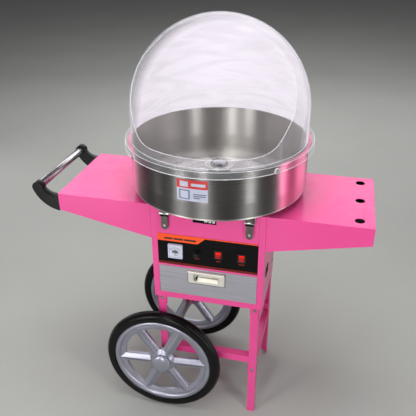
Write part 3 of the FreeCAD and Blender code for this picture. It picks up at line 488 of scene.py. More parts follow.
def dome_plastic(name):
    """Clear formed plastic; behind the leaning edge of its front opening it gets a painted haze, a painted
    reflection of the lamps, with streaks in it.

    Its opacity and its faint emission, a painted glow, also rise where the surface turns away from the view,
    as a painted sheen.
    """
    shader = Shader(name, Metallic=0.0, IOR=1.49, Roughness=0.06, Specular_IOR_Level=0.6,
                    Emission_Color=(1.0, 0.96, 1.0, 1.0))
    # A painted haze, a painted reflection of the lamps, deepens behind the leaning edge; streaks run through
    # it.
    lean = shader.measure(shader.coords((1.0, 1.0, 1.0), (-AXIS.x, 0.0, 0.0)), PAINTED_HAZE_LEAN)
    depth = shader.remap(lean, 0.0, 1.0, *PAINTED_HAZE_REACH)
    flow = shader.noise(shader.coords((2.2, 2.2, 12.0)), 1.6, 5.0, 0.55, 2.2)
    painted_haze = shader.math("MULTIPLY", depth, shader.remap(flow, 0.92, 1.0, 0.4, 0.56))
    # Towards grazing view the cover gets more opaque and glows more, a painted sheen.
    grazing = shader.node("ShaderNodeLayerWeight").outputs["Facing"]
    edge = shader.remap(grazing, 0.0, 0.55, 0.76, 0.94)
    veil = shader.math("ADD", painted_haze, edge, use_clamp=True)
    # The emission is a painted glow that follows the painted haze and sheen.
    for socket, low, high in (("Alpha", 0.12, 0.73), ("Emission Strength", 0.02, 0.245)):
        shader.link(shader.remap(veil, low, high, 0.0, 1.0), shader.bsdf.inputs[socket])
    shader.colour(shader.mix(painted_haze, rgb(0.50, 0.48, 0.54), rgb(0.95, 0.91, 0.98)))
    shader.bump(flow, 0.08, 0.004)
    return shader.material


def clear_plastic(name, alpha):
    """Thin clear window."""
    shader = Shader(name, Metallic=0.0, IOR=1.49, Roughness=0.05, Alpha=alpha)
    haze = shader.noise(shader.coords(), 40.0, 3.0)
    shader.colour(shader.mix(shader.remap(haze, 0.0, 1.0), rgb(0.85, 0.87, 0.92), rgb(0.95, 0.96, 1.0)))
    return shader.material


def floor_paint(name):
    """Plain pale matt studio floor."""
    shader = Shader(name, Metallic=0.0, Specular_IOR_Level=0.1)
    drift = shader.noise(shader.coords(), 1.2, 4.0, 0.6)
    shader.colour(shader.mix(shader.remap(drift, 0.0, 1.0), rgb(0.40, 0.405, 0.385), rgb(0.43, 0.435, 0.415)))
    shader.rough(shader.remap(drift, 0.85, 0.95))
    return shader.material


COAT, COAT_DRIFT = rgb(0.76, 0.062, 0.27), rgb(0.82, 0.08, 0.31)
PINK = powder_coat("pink_powder_coat", COAT, COAT_DRIFT)
# The right shelf's inner faces are painted near black, a painted shade inside the hollow shelf.
PINK_SHELF = powder_coat("pink_powder_coat_shelf", COAT, COAT_DRIFT, inside_shelf)
SPUN = spun_steel("spun_stainless")
BRUSHED = brushed_sheet("brushed_stainless", "X")
DRAWER = brushed_sheet("drawer_steel", "X", (0.56, 0.55, 0.61), (0.385, 0.375, 0.43), (0.36, 0.50), 300, 0.7)
LATCH = brushed_sheet("latch_steel", "Z", (0.20, 0.19, 0.175), (0.11, 0.105, 0.10))
ZINC = bright_metal("zinc_plate", (0.36, 0.36, 0.34), 0.30, 0.45)
CHROME = bright_metal("chrome_plate", (0.66, 0.63, 0.67), 0.20, 0.28)
WIRE = bright_metal("bright_wire", (0.66, 0.65, 0.63), 0.16, 0.28)
BLACK = moulded("moulded_black", (0.004, 0.004, 0.004), (0.28, 0.40), Specular_IOR_Level=0.3)
PANEL = moulded("panel_black", (0.0025, 0.0022, 0.0025), (0.30, 0.42), 300.0, 0.05, Specular_IOR_Level=0.10)
TYRE = moulded("tyre_rubber", (0.0022, 0.002, 0.0022), (0.20, 0.28), 500.0, 0.05, Specular_IOR_Level=0.2)
MOUNT_RUBBER = moulded("mount_rubber", (0.015, 0.015, 0.015), (0.55, 0.7))
SILVER = silver_paint("silver_paint")
ORANGE = moulded("panel_orange", (0.95, 0.085, 0.010), (0.35, 0.45), 400.0, 0.04, Specular_IOR_Level=0.3)
DEEP_RED = moulded("panel_deep_red", (0.26, 0.018, 0.008), (0.35, 0.45), 400.0, 0.04, Specular_IOR_Level=0.3)
RED = rocker_plastic("switch_red")
LABEL_RED = moulded("label_red", (0.48, 0.012, 0.016), (0.30, 0.4), 300.0, 0.03)
LABEL_BLUE = moulded("label_blue", (0.10, 0.12, 0.22), (0.30, 0.4), 300.0, 0.03)
LABEL_WHITE = moulded("label_white", (0.41, 0.43, 0.53), (0.30, 0.4), 300.0, 0.03)
METER = moulded("meter_white", (0.62, 0.66, 0.80), (0.16, 0.28), 200.0, 0.03)
INK = moulded("meter_ink", (0.02, 0.02, 0.03), (0.4, 0.5), 300.0, 0.03)
NEEDLE = moulded("needle_grey", (0.16, 0.16, 0.19), (0.4, 0.5), 300.0, 0.03)
MOTOR = moulded("motor_enamel", (0.05, 0.055, 0.06), (0.35, 0.55), 250.0, 0.2)
BRASS = bright_metal("ring_brass", (0.72, 0.50, 0.20), 0.2, 0.35)
ALLOY = bright_metal("spinner_alloy", (0.62, 0.62, 0.64), 0.18, 0.32)
DOME = dome_plastic("dome_plastic")
DOME_SKIRT = clear_plastic("dome_skirt", 0.05)
# Whitish clear plastic: on the cover's edge beads a painted highlight of the lit edges; on the washers their
# own colour.
DOME_EDGE = clear_plastic("dome_edge", 0.6)
HEATER = moulded("heater_dark", (0.012, 0.014, 0.03), (0.3, 0.4), 300.0, 0.05)
PALE = moulded("plate_pale", (0.50, 0.47, 0.50), (0.4, 0.5), 300.0, 0.03)
PRINT = moulded("print_brown", (0.016, 0.006, 0.004), (0.4, 0.5), 300.0, 0.03)
SATIN = brushed_sheet("satin_pull", "X", (0.94, 0.91, 0.86), (0.80, 0.77, 0.72), (0.36, 0.46), 420, 0.7)
# Near white with a faint glow, a painted highlight for the lit faces in the drawer pull.
PULL_HIGHLIGHT = moulded("cream_painted_highlight", (0.92, 0.88, 0.74), (0.25, 0.35), 300.0, 0.03, Emission_Strength=0.12,
                Emission_Color=(1.0, 0.95, 0.80, 1.0))
WINDOW = clear_plastic("meter_window", 0.12)
FLOOR = floor_paint("floor_paint")


# ---------------------------------------------------------------- stage, light and camera
def make_stage():
    bm = bmesh.new()
    size = FLOOR_HALF_SIZE
    corners = [bm.verts.new((x * size, y * size, 0.0)) for x, y in ((-1, -1), (1, -1), (1, 1), (-1, 1))]
    bm.faces.new(corners)
    floor = new_object("floor", bm)
    floor.data.materials.append(FLOOR)


# Soft boxes round the object: name, azimuth in degrees from the front towards +X, distance, height,
# width, tall side, power, the point aimed at, and whether each lights matt and gloss.
BOWL_POINT, MIDDLE, FAR_FLOOR = (0.0, 0.0, 0.85), (0.0, 0.0, 1.0), (0.0, 5.0, 0.0)
LIGHTS = [
    ("top_box", 0, 0.1, 2.6, 1.5, 1.5, 40, BOWL_POINT, True, False),
    ("glint_box", -12, 0.95, 2.3, 0.5, 0.5, 5, BOWL_POINT, False, True),
    ("front_left_box", -31, 1.75, 1.12, 0.36, 2.15, 12.5, MIDDLE, True, True),
    ("front_box", -4, 1.75, 1.12, 0.26, 2.15, 10.5, MIDDLE, True, True),
    ("right_box", 49, 1.75, 1.12, 0.28, 2.15, 12.0, MIDDLE, True, True),
    ("flank_right_box", 90, 1.75, 1.12, 0.20, 2.15, 8.0, MIDDLE, False, True),
    ("flank_left_box", -63, 1.75, 1.12, 0.20, 2.15, 1.2, MIDDLE, False, True),
    ("flank_back_box", 128, 1.9, 1.2, 0.9, 2.0, 7, MIDDLE, False, True),
    ("left_box", -112, 2.4, 1.35, 1.2, 2.3, 10, BOWL_POINT, True, True),
    ("back_box", 192, 3.2, 2.3, 4.0, 1.4, 30, BOWL_POINT, True, True),
    ("far_floor_box", 180, 2.6, 3.4, 5.0, 1.5, 90, FAR_FLOOR, True, False),
]
WORLD_STRENGTH = 0.12
CAMERA_LENS = 47.92                 # mm on a 36 mm sensor
CAMERA_YAW, CAMERA_PITCH, CAMERA_ROLL = 13.959, 28.334, -0.331
CAMERA_ASIDE, CAMERA_Y, CAMERA_Z = 0.3352, -1.4939, 1.5156


def soft_light(name, azimuth, distance, height, width, tall, power, aim, matt, gloss):
    """One row of LIGHTS."""
    data = bpy.data.lights.new(name, "AREA")
    data.shape = "RECTANGLE"
    data.size = width
    data.size_y = tall
    data.energy = power
    light = bpy.data.objects.new(name, data)
    turn = math.radians(azimuth)
    light.location = (distance * math.sin(turn), -distance * math.cos(turn), height)
    direction = Vector(aim) - light.location
    light.rotation_euler = direction.to_track_quat("-Z", "Y").to_euler()
    light.visible_camera = False
    light.visible_diffuse = matt
    light.visible_glossy = gloss
    bpy.context.scene.collection.objects.link(light)


def make_lights():
    world = bpy.data.worlds.new("studio")
    world.use_nodes = True
    background = world.node_tree.nodes["Background"]
    background.inputs["Color"].default_value = (0.88, 0.90, 0.92, 1.0)
    background.inputs["Strength"].default_value = WORLD_STRENGTH
    bpy.context.scene.world = world
    bpy.context.scene.view_settings.view_transform = "Standard"
    for row in LIGHTS:
        soft_light(*row)


def make_camera():
    data = bpy.data.cameras.new("camera")
    data.sensor_width = 36.0
    data.lens = CAMERA_LENS
    camera = bpy.data.objects.new("camera", data)
    yaw, pitch, roll = (math.radians(angle) for angle in (CAMERA_YAW, CAMERA_PITCH, CAMERA_ROLL))
    turn = Matrix.Rotation(yaw, 4, "Z") @ Matrix.Rotation(math.pi / 2 - pitch, 4, "X")
    turn = turn @ Matrix.Rotation(roll, 4, "Z")
    place = Vector((AXIS.x + CAMERA_ASIDE, CAMERA_Y, CAMERA_Z))
    camera.matrix_world = Matrix.Translation(place) @ turn
    bpy.context.scene.collection.objects.link(camera)
    bpy.context.scene.camera = camera


# ---------------------------------------------------------------- CAD nodes that are kept
# material, bevel width, nodes
KEPT = [
    (PINK, 0.0, ["leg_front_left", "leg_front_right", "leg_rear_left", "leg_rear_right", "lower_rails"]),
    (PINK, 0.0009, ["front_frame", "front_fascia", "side_panel_left", "side_panel_right", "rear_panel",
                    "base_tray", "top_deck", "left_shelf", "shelf_brackets"]),
    (PINK_SHELF, 0.0009, ["right_shelf"]),
    (ZINC, 0.0004, ["divider_shelf", "wheel_axle", "stand_bolts", "cabinet_screws", "drawer_runners",
                    "dome_screws"]),
    (DRAWER, 0.0005, ["drawer_front"]),
    (BRUSHED, 0.0005, ["drawer_box", "bowl_catches"]),
    (SATIN, 0.0005, ["drawer_pull"]),
    (LATCH, 0.0003, ["latch_bases", "latch_lever_left", "latch_lever_right"]),
    (WIRE, 0.0, ["latch_loop_left", "latch_loop_right", "spindle_shaft"]),
    (CHROME, 0.0005, ["handle_tube"]),
    (BLACK, 0.004, ["handle_bracket_front", "handle_bracket_rear"]),
    (BLACK, 0.0005, ["regulator_knob", "regulator_body", "switch_housings", "power_inlet", "brush_holder"]),
    (PANEL, 0.0003, ["control_panel"]),
    (METER, 0.0006, ["voltmeter_case", "voltmeter_dial"]),
    (NEEDLE, 0.0, ["voltmeter_needle"]),
    (WINDOW, 0.0, ["voltmeter_window"]),
    (RED, 0.0006, ["motor_rocker", "heat_rocker"]),
    (MOTOR, 0.001, ["motor"]),
    (MOUNT_RUBBER, 0.0005, ["vibration_mounts"]),
    (BRASS, 0.0003, ["slip_rings"]),
    (HEATER, 0.0003, ["heater_band"]),
    (SPUN, 0.0004, ["spinner_base"]),
    (ALLOY, 0.0004, ["spinner_cap"]),
]


def dress_kept_nodes():
    for material, width, names in KEPT:
        for name in names:
            node = NODES[name]
            node.data.materials.clear()
            node.data.materials.append(material)
            if width:
                add_bevel(node, width)


# ---------------------------------------------------------------- wheels
def tyre_section(outer, seat, half):
    """Tyre outline: seat, bulged side walls, a moulded line, crowned tread."""
    side = [(seat, -half + 0.004), (seat + 0.002, -half + 0.001)]
    side += [(seat + 0.006, -half), (seat + 0.012, -half + 0.0003), (outer - 0.016, -half + 0.0006)]
    side += [(outer - 0.0155, -half + 0.0014), (outer - 0.0145, -half + 0.0014)]
    side += arc(outer - 0.0135, -half + 0.0115, 0.0105, -90, -25, 6)
    side += [(outer - 0.0035, -half + 0.0085), (outer - 0.0022, -half + 0.010)]
    side += [(outer - 0.0008, -half + 0.014), (outer, 0.0)]
    return side + [(radius, -offset) for radius, offset in reversed(side[:-1])]


def window_outline(half_gap, outer, round_off):
    """Rounded three-cornered opening between two spokes, in the wheel's plane."""
    half_step = math.radians(SPOKE_STEP / 2)
    reach = half_step - math.asin(half_gap / outer)
    tip = (half_gap / math.sin(half_step), 0.0)
    rim = arc(0.0, 0.0, outer, -math.degrees(reach), math.degrees(reach), 12)
    return rounded([tip] + rim, [round_off, round_off] + [0.0] * 11 + [round_off], 6)


def face_section(points):
    """Both faces of a wheel section from the front one, in millimetres."""
    front = [(radius * MM, -offset * MM) for radius, offset in points]
    return front + [(radius, -offset) for radius, offset in reversed(front)]


# (radius, half thickness) in millimetres, from the bore to the lip
RIM_SECTION = [
    (8.05, 17.6), (34.6, 17.6), (35.8, 16.9), (43.6, 5.2), (46.5, 3.8), (128.5, 3.8), (131.5, 4.4),
    (142.8, 10.4), (144.2, 10.5), (145.2, 10.0), (146.6, 12.4), (149.0, 15.2), (152.0, 16.7),
    (155.6, 17.2), (160.0, 16.8), (162.8, 15.5), (163.8, 14.0)]
WINDOW_HALF_GAP, WINDOW_RADIUS, WINDOW_CORNER = 0.018, 0.130, 0.013
RIDGE_START, RIDGE_LENGTH = 0.034, 0.1165
COLLAR_SECTION = [(0.0081, 0.0), (0.0272, 0.0), (0.0280, 0.0008), (0.0285, 0.004), (0.0081, 0.004)]
COLLAR_BACK = -0.0198


def make_wheel(end, side):
    """Tyre, dished six-spoke rim and hub cap of one wheel; side is -1 at the front, 1 at the rear."""
    tyre_low, tyre_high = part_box("tyre_" + end)
    middle = (tyre_low + tyre_high) / 2
    outer = (tyre_high.z - tyre_low.z) / 2
    half = (tyre_high.y - tyre_low.y) / 2
    body = "wheel_" + end
    tyre = revolve("tyre_piece_" + end, tyre_section(outer, TYRE_SEAT, half), middle, "Y", 160)
    publish(tyre, TYRE, body, ["tyre_" + end])

    rim = revolve("rim_piece_" + end, face_section(RIM_SECTION), middle, "Y", 144)
    bm = bmesh.new()
    outline = window_outline(WINDOW_HALF_GAP, WINDOW_RADIUS, WINDOW_CORNER)
    for index in range(SPOKES):
        turn = Matrix.Rotation(math.radians(SPOKE_PHASE + SPOKE_STEP / 2 + SPOKE_STEP * index), 2)
        points = [middle + Vector((point.x, -0.03, point.y)) for point in (turn @ flat for flat in outline)]
        add_prism(bm, points, (0, 0.06, 0))
    cut_with(rim, new_object("window_cutter", bm))
    add_bevel(rim, 0.0016, 3, 50)
    bake_modifiers(rim)
    publish(rim, SILVER, body, ["wheel_rim_" + end])

    bm = bmesh.new()
    for index in range(SPOKES):
        for face in (-1, 1):
            add_ridge(bm, middle, math.radians(SPOKE_PHASE + SPOKE_STEP * index), face)
    ridges = new_object("rim_ridges_" + end, bm)
    publish(ridges, SILVER, body)

    collar = [(radius, side * COLLAR_BACK + offset * side) for radius, offset in COLLAR_SECTION]
    publish(revolve("rim_collar_" + end, collar, middle, "Y", 64), SILVER, body)

    crown = [(0.0338, 0.0176), (0.0340, 0.0184), (0.0340, 0.0222)]
    for step in range(1, 11):
        turn = math.radians(9 * step)
        crown.append((0.0337 * math.cos(turn), 0.0228 + 0.0101 * math.sin(turn)))
    inside = [(0.0, 0.0295), (0.022, 0.0268), (0.0312, 0.0225), (0.0312, 0.0176)]
    cap = [(max(radius, 0.0), offset * side) for radius, offset in crown + inside]
    cap[len(crown) - 1] = (0.0, cap[len(crown) - 1][1])
    hub_cap = revolve("hub_cap_piece_" + end, cap, middle, "Y", 72)
    publish(hub_cap, SILVER, body, ["hub_cap_" + end])


def add_ridge(bm, middle, angle, face):
    """Roof-shaped ridge along one spoke; it sinks into the cone of the rim."""
    along = Vector((math.cos(angle), 0, math.sin(angle)))
    across = Vector((-math.sin(angle), 0, math.cos(angle)))
    out = Vector((0, face, 0))
    start = middle + along * RIDGE_START
    section = [(0.0155, 0.0030), (0.0145, 0.0044), (0.0022, 0.0112), (0.0008, 0.0119)]
    section += [(-width, height) for width, height in reversed(section)]
    points = [start + across * width + out * height for width, height in section]
    add_prism(bm, points, along * RIDGE_LENGTH)


# ---------------------------------------------------------------- bowl, cover and head
def make_bowl():
    low, high = BOWL_LOW.z, BOWL_HIGH.z
    outer = BOWL_RADIUS
    wall = 0.0016
    corner = 0.016
    floor = low + 0.0142
    groove = floor - 0.0012
    bead_top = low + wall + 0.0010
    inside = [(0.0362, floor - 0.002), (0.0362, low + 0.0296), (0.0370, low + 0.0300)]
    inside += [(0.0378, low + 0.0296), (0.0380, floor + 0.002), (0.0400, floor)]
    inside += [(0.085, floor), (0.0865, groove), (0.089, groove), (0.0905, floor)]
    inside += [(0.118, floor), (0.1195, groove), (0.122, groove), (0.1235, floor)]
    inside += [(0.146, floor), (0.150, groove), (0.154, low + 0.0045), (0.157, low + wall)]
    inside += [(0.196, low + wall), (0.198, bead_top), (0.202, bead_top), (0.204, low + wall)]
    inside += arc(outer - corner, low + corner, corner - wall, -90, 0, 10)
    inside += [(outer - wall, high - 0.006)]
    bead = arc(outer + 0.0030, high - 0.0046, 0.0046, 165, -120, 16)
    outside = [(outer + 0.0004, high - 0.0095), (outer, high - 0.011)]
    outside += arc(outer - corner, low + corner, corner, 0, -90, 10)
    outside += [(0.157, low), (0.150, low + 0.003), (0.146, floor - 0.002)]
    profile = inside + bead + outside
    bowl = revolve("bowl_piece", profile, AXIS, "Z", 224)
    publish(bowl, SPUN, "cart", ["bowl"])


# (y, height above the lip) of the serving opening's leaning edge
OPENING_EDGE = [
    (-0.214, 0.0), (-0.200, 0.0025), (-0.185, 0.0085), (-0.171, 0.019), (-0.153, 0.043),
    (-0.134, 0.072), (-0.116, 0.099), (-0.099, 0.127), (-0.083, 0.158), (-0.071, 0.184),
    (-0.062, 0.210), (-0.059, 0.260)]
OPENING_LIP = 0.045
ABOVE_DOME = 1.30
OPENING_FRONT = -0.40


def opening_outline():
    """Side view (y, z) of the serving opening, from the lip up the leaning edge and over the top."""
    lip = DOME_LOW.z + OPENING_LIP
    edge = [(y, lip + rise) for y, rise in OPENING_EDGE]
    top = [(-0.057, ABOVE_DOME), (OPENING_FRONT, ABOVE_DOME)]
    return [(OPENING_FRONT, lip)] + edge + top


def make_dome():
    radius, wall, centre_z = DOME_RADIUS, DOME_WALL, DOME_CENTRE_Z
    foot = BOWL_HIGH.z + 0.0003
    rings = 40
    outer = arc(0.0, centre_z, radius, 90, 0, rings)
    inner = arc(0.0, centre_z, radius - wall, 0, 90, rings)
    outer[0] = (0.0, outer[0][1])
    inner[-1] = (0.0, inner[-1][1])
    profile = outer + [(radius, foot + 0.004), (radius, foot), (radius - wall, foot)] + inner
    bm = bmesh.new()
    add_revolve(bm, profile, AXIS, "Z", 192)
    shell = new_object("dome_shell", bm)
    bm = bmesh.new()
    outline = [Vector((AXIS.x - 0.4, y, z)) for y, z in opening_outline()]
    add_prism(bm, outline, (0.8, 0, 0))
    cut_with(shell, new_object("opening_cutter", bm))
    add_bevel(shell, 0.0009, 2, 55)
    bake_modifiers(shell)
    publish(shell, DOME, "bubble", ["dome"])

    flange_outer = (DOME_HIGH.y - DOME_LOW.y) / 2
    skirt = DOME_LOW.z
    profile = [(radius + 0.0002, foot), (flange_outer - wall, foot), (flange_outer - wall, skirt + 0.001)]
    profile += [(flange_outer - wall + 0.001, skirt), (flange_outer - 0.001, skirt)]
    profile += [(flange_outer, skirt + 0.001)]
    profile += arc(flange_outer - 0.004, foot + wall - 0.004, 0.004, 0, 90, 6)
    profile += [(radius + 0.004, foot + wall)] + arc(radius + 0.0042, foot + wall + 0.004, 0.004, 270, 180, 5)
    flange = revolve("dome_flange", profile, AXIS, "Z", 192)
    publish(flange, DOME_SKIRT, "bubble")

    # Whitish beads along the flange rims and the opening's edge, a painted highlight of the lit edges of the
    # clear sheet.
    bm = bmesh.new()
    for ring_radius, height, bead in ((flange_outer - 0.0016, skirt + 0.0012, 0.0009),
                                      (flange_outer - 0.0022, foot + wall - 0.0010, 0.0007),
                                      (radius + 0.0016, foot + wall + 0.0010, 0.0007)):
        add_revolve(bm, arc(ring_radius, height, bead, 0, 315, 7), AXIS, "Z", 160)
    add_tube(bm, opening_edge(radius - wall / 2, centre_z), 0.0007)
    publish(new_object("dome_painted_edge_highlights", bm), DOME_EDGE, "bubble")

    bm = bmesh.new()
    for degrees in (45, 135, 225, 315):
        outward = Vector((math.cos(math.radians(degrees)), math.sin(math.radians(degrees)), 0))
        seat = AXIS + outward * (flange_outer - 0.0006) + Vector((0, 0, DOME_SCREW_Z))
        across = Vector((-outward.y, outward.x, 0))
        ring = [seat + across * x + Vector((0, 0, z)) for x, z in arc(0, 0, 0.0068, 0, 360, 24)]
        add_tube(bm, ring, 0.0016)
    publish(new_object("dome_washers", bm), DOME_EDGE, "bubble")


def opening_edge(radius, centre_z):
    """Edge of the serving opening on the shell, from the top down one side, round the lip and back."""
    side = []
    for y, z in reversed(opening_outline()[1:-1]):
        spare = radius ** 2 - y ** 2 - max(z - centre_z, 0.0) ** 2
        if spare > 0:
            side.append(Vector((AXIS.x + math.sqrt(spare), y, z)))
    corner = side[-1]
    turn = math.atan2(corner.x - AXIS.x, -corner.y)
    lip = []
    for step in range(1, 40):
        angle = turn * (1 - 2 * step / 40)
        lip.append(Vector((AXIS.x + radius * math.sin(angle), -radius * math.cos(angle), corner.z)))
    mirrored = [Vector((2 * AXIS.x - point.x, point.y, point.z)) for point in reversed(side)]
    return side + lip + mirrored


def add_tube(bm, points, radius):
    """Round bead along a path of points."""
    rings = []
    for index, point in enumerate(points):
        ahead = points[min(index + 1, len(points) - 1)]
        behind = points[max(index - 1, 0)]
        along = (ahead - behind).normalized()
        first = along.cross(Vector((0.31, 0.17, 0.93))).normalized()
        second = along.cross(first)
        ring = []
        for step in range(TUBE_SIDES):
            turn = 2 * math.pi * step / TUBE_SIDES
            out = first * math.cos(turn) + second * math.sin(turn)
            ring.append(bm.verts.new(point + out * radius))
        rings.append(ring)
    for ring, following in zip(rings, rings[1:]):
        for index in range(TUBE_SIDES):
            other = (index + 1) % TUBE_SIDES
            bm.faces.new([ring[index], ring[other], following[other], following[index]])
    bm.faces.new(rings[0])
    bm.faces.new(list(reversed(rings[-1])))


# ---------------------------------------------------------------- labels and panel graphics
def panel_plate(name, outline, front, depth, material):
    """Thin printed shape on the control panel, outline in (x, z)."""
    bm = bmesh.new()
    points = [Vector((x, front, z)) for x, z in outline]
    add_prism(bm, points, (0, -depth, 0))
    publish(new_object(name, bm), material, "cart")


def make_panel_graphics():
    left, right = PANEL_LOW.x, PANEL_HIGH.x
    low, top = PANEL_LOW.z, PANEL_HIGH.z
    front = PANEL_LOW.y
    span = right - left
    band = [(left, top - 0.024), (left + span * 0.405, top - 0.024), (left + span * 0.482, top - 0.0035),
            (right, top - 0.0035), (right, top), (left, top)]
    panel_plate("panel_band", band, front, PRINT_DEPTH, ORANGE)
    for name, z0, z1 in (("low", 0.0004, 0.0022), ("mid", 0.0038, 0.0054), ("high", 0.0070, 0.0084)):
        strip = [(left, low + z0), (right, low + z0), (right, low + z1), (left, low + z1)]
        panel_plate("panel_line_" + name, strip, front, PRINT_DEPTH, DEEP_RED)


def make_panel_marks():
    """Plain dashes in place of the printed title and captions."""
    front = PANEL_LOW.y
    top = PANEL_HIGH.z
    marks = [(x0, x1, -17.5, -11.5, PRINT) for x0, x1 in ((-130, -105), (-102, -72), (-69, -33))]
    marks += [(-39, -23, -76, -74, DEEP_RED), (28, 41, -76, -73.5, DEEP_RED), (95, 113, -77, -74.5, DEEP_RED)]
    for index, (x0, x1, z0, z1, material) in enumerate(marks):
        outline = [(AXIS.x + x * MM, top + z * MM) for x, z in ((x0, z0), (x1, z0), (x1, z1), (x0, z1))]
        name = "panel_mark_%d" % index
        panel_plate(name, outline, front - PRINT_DEPTH, PRINT_DEPTH, material)


def make_pull_details():
    """Dark frame round the drawer pull, a painted shadow; the slanting grip plate and a strip on the pull's
    lip in near white with a faint glow, painted highlights; and the stop in the pocket.
    """
    low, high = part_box("drawer_pull")
    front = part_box("drawer_front")[0].y
    # A thin dark frame round the pull, a painted shadow.
    bm = bmesh.new()
    x0, x1, z0, z1 = low.x - 0.0015, high.x + 0.0020, low.z - 0.0020, high.z + 0.0006
    strips = [(x0, x1, z0, low.z), (x0, x1, high.z, z1), (x0, low.x, z0, z1), (high.x, x1, z0, z1)]
    for start, end, bottom, top in strips:
        add_box(bm, (start, front - 0.0006, bottom), (end, front - 0.0001, top))
    publish(new_object("pull_painted_shadow", bm), PRINT, "drawer")
    # Slanting plate in the pocket and a strip on the lip, near white and glowing: painted highlights.
    bm = bmesh.new()
    x0, x1 = AXIS.x - 0.031, AXIS.x + 0.0325
    grip = [(-0.0006, 0.5152), (0.0006, 0.5145), (0.0105, 0.5222), (0.0098, 0.5232)]
    outline = [Vector((x0, front + back, z)) for back, z in grip]
    add_prism(bm, outline, (x1 - x0, 0, 0), 0.0003, 1)
    add_box(bm, (low.x + 0.001, low.y - 0.0004, 0.5494), (high.x - 0.001, low.y + 0.001, 0.5518), 0.0003, 1)
    publish(new_object("pull_painted_highlight", bm), PULL_HIGHLIGHT, "drawer")
    stop = [(0.0, 0.0), (0.0024, 0.0), (0.0028, 0.0006), (0.0028, 0.012), (0.0, 0.012)]
    place = Vector((AXIS.x - 0.0352, front + 0.0004, 0.5232))
    publish(revolve("pull_stop", stop, place, "Y", 24), BLACK, "drawer")


def make_latch_bars(name):
    """Bright rolled bar across the head of a latch lever, over a dark strip that is painted shadow under the
    bar.
    """
    low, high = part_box("latch_lever_" + name)
    x = (low.x + high.x) / 2
    # The black strip under the bar is a painted shadow.
    for piece, half, y0, z0, z1, material in (("bar", 0.0145, -0.0022, 0.7425, 0.7475, WIRE),
                                              ("strip", 0.0125, -0.0014, 0.7360, 0.7425, PANEL)):
        bm = bmesh.new()
        add_box(bm, (x - half, low.y + y0, z0), (x + half, low.y + 0.0004, z1), 0.0005)
        publish(new_object("latch_%s_%s" % (piece, name), bm), material, "lever_" + name)


def make_fascia_plate():
    """Blank dark notice with a few plain pale fields."""
    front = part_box("front_fascia")[0].y
    fields = [(-42, 28, 722, 748, 0.0004, PANEL), (-34, -26, 738, 743, 0.0005, PALE),
              (-8, 2, 727, 733, 0.0005, PALE), (5, 13, 726, 733, 0.0005, PALE),
              (16, 24, 726, 735, 0.0005, PALE)]
    for index, (x0, x1, z0, z1, depth, material) in enumerate(fields):
        outline = [(AXIS.x + x * MM, z * MM) for x, z in ((x0, z0), (x1, z0), (x1, z1), (x0, z1))]
        panel_plate("notice_field_%d" % index, outline, front, depth, material)


def make_latch_rivets():
    """Bright eyelet in the foot of each latch lever."""
    for name in ("left", "right"):
        low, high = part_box("latch_lever_" + name)
        place = Vector(((low.x + high.x) / 2, low.y, LATCH_EYELET_Z))
        eyelet = [(0.0021, -0.0005), (0.0030, -0.0007), (0.0038, -0.0003), (0.0038, 0.0002), (0.0021, 0.0002)]
        piece = revolve("latch_eyelet_" + name, eyelet, place, "Y", 32)
        publish(piece, WIRE, "lever_" + name)


def make_bowl_label():
    """Two-colour plate with plain blocks, curved round the bowl; angles in degrees from the front."""
    fields = [("label_lower", -12.5, 6.2, 0.844, 0.8805, LABEL_FACE, LABEL_WHITE),
              ("label_upper", -12.5, 6.2, 0.8805, 0.905, LABEL_FACE, LABEL_RED),
              ("label_block", -10.5, -5.5, 0.8850, 0.9000, LABEL_PRINT, LABEL_WHITE),
              ("label_word", -3.5, 4.8, 0.8880, 0.8960, LABEL_PRINT, LABEL_WHITE),
              ("label_field", -11.0, -4.5, 0.8490, 0.8760, LABEL_PRINT, LABEL_BLUE),
              ("label_field_inner", -10.2, -5.3, 0.8520, 0.8730, LABEL_OVERPRINT, LABEL_WHITE),
              ("label_line_1", -2.4, 5.4, 0.8640, 0.8665, LABEL_PRINT, LABEL_BLUE),
              ("label_line_2", -2.4, 5.0, 0.8585, 0.8610, LABEL_PRINT, LABEL_BLUE),
              ("label_line_3", -2.4, 1.5, 0.8530, 0.8555, LABEL_PRINT, LABEL_BLUE)]
    for name, start, end, z0, z1, radius, material in fields:
        bm = bmesh.new()
        rows = []
        for step in range(13):
            angle = math.radians(start + (end - start) * step / 12)
            direction = Vector((math.sin(angle), -math.cos(angle), 0))
            rows.append([bm.verts.new(AXIS + direction * r + Vector((0, 0, z)))
                         for r, z in ((radius - 0.0005, z0), (radius + 0.0003, z0), (radius + 0.0003, z1),
                                      (radius - 0.0005, z1))])
        for row, following in zip(rows, rows[1:]):
            for index in range(4):
                other = (index + 1) % 4
                bm.faces.new([row[index], row[other], following[other], following[index]])
        bm.faces.new(rows[0])
        bm.faces.new(list(reversed(rows[-1])))
        publish(new_object(name, bm), material, "cart")


SCALE_START, SCALE_SWEEP = 135, 90
SCALE_INNER, SCALE_OUTER, TICK_START = 0.0216, 0.0223, 0.0222
LONG_TICK, SHORT_TICK, TICK_HALF_WIDTH = 0.0036, 0.0022, 0.0003
ARCH_OUTER, ARCH_INNER, ARCH_RISE = 0.0102, 0.0044, 0.0052


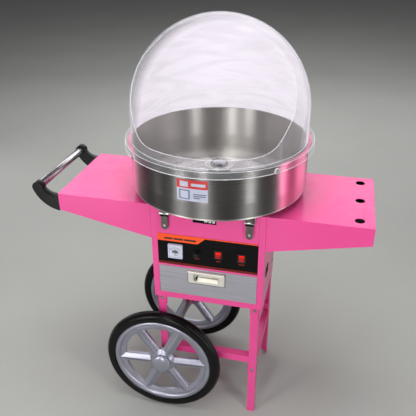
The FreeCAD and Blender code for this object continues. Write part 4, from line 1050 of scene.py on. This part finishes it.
def make_meter_face():
    """Scale arc, tick marks and the dark arch over the pointer's pivot."""
    low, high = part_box("voltmeter_dial")
    x = (low.x + high.x) / 2
    pivot_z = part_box("voltmeter_needle")[0].z + 0.003
    face = high.y - 0.0038
    bm = bmesh.new()
    steps = 20
    for index in range(steps):
        a0 = math.radians(SCALE_START - SCALE_SWEEP * index / steps)
        a1 = math.radians(SCALE_START - SCALE_SWEEP * (index + 1) / steps)
        points = [(SCALE_INNER, a0), (SCALE_OUTER, a0), (SCALE_OUTER, a1), (SCALE_INNER, a1)]
        outline = [Vector((x + r * math.cos(a), face, pivot_z + r * math.sin(a))) for r, a in points]
        add_prism(bm, outline, (0, -PRINT_DEPTH, 0))
    for index in range(11):
        angle = math.radians(SCALE_START - SCALE_SWEEP // 10 * index)
        length = LONG_TICK if index % 5 == 0 else SHORT_TICK
        along = Vector((math.cos(angle), 0, math.sin(angle)))
        across = Vector((-math.sin(angle), 0, math.cos(angle))) * TICK_HALF_WIDTH
        start = Vector((x, face, pivot_z)) + along * TICK_START
        end = start + along * length
        add_prism(bm, [start - across, start + across, end + across, end - across], (0, -PRINT_DEPTH, 0))
    publish(new_object("meter_scale", bm), INK, "cart")

    bm = bmesh.new()
    arch = arc(0, 0, ARCH_OUTER, 0, 180, 14) + [(-ARCH_INNER, 0.0), (ARCH_INNER, 0.0)]
    arch += arc(0, 0, ARCH_INNER, 0, 180, 10)[1:-1]
    outline = [Vector((x + dx, high.y - 0.0050, pivot_z + ARCH_RISE + dz)) for dx, dz in arch]
    add_prism(bm, outline, (0, -0.0006, 0))
    publish(new_object("meter_pivot_arch", bm), INK, "cart")

    bm = bmesh.new()
    for half, z0, z1 in ((0.0080, -0.0040, -0.0028), (0.0010, 0.0165, 0.0185)):
        add_box(bm, (x - half, face - 0.0003, pivot_z + z0), (x + half, face, pivot_z + z1))
    publish(new_object("meter_face_marks", bm), INK, "cart")


# ---------------------------------------------------------------- build
make_stage()
make_lights()
make_camera()
dress_kept_nodes()
for wheel_end, wheel_side in (("front", -1), ("rear", 1)):
    make_wheel(wheel_end, wheel_side)
make_bowl()
make_dome()
make_panel_graphics()
make_bowl_label()
make_fascia_plate()
make_panel_marks()
make_pull_details()
make_latch_rivets()
for latch in ("left", "right"):
    make_latch_bars(latch)
make_meter_face()
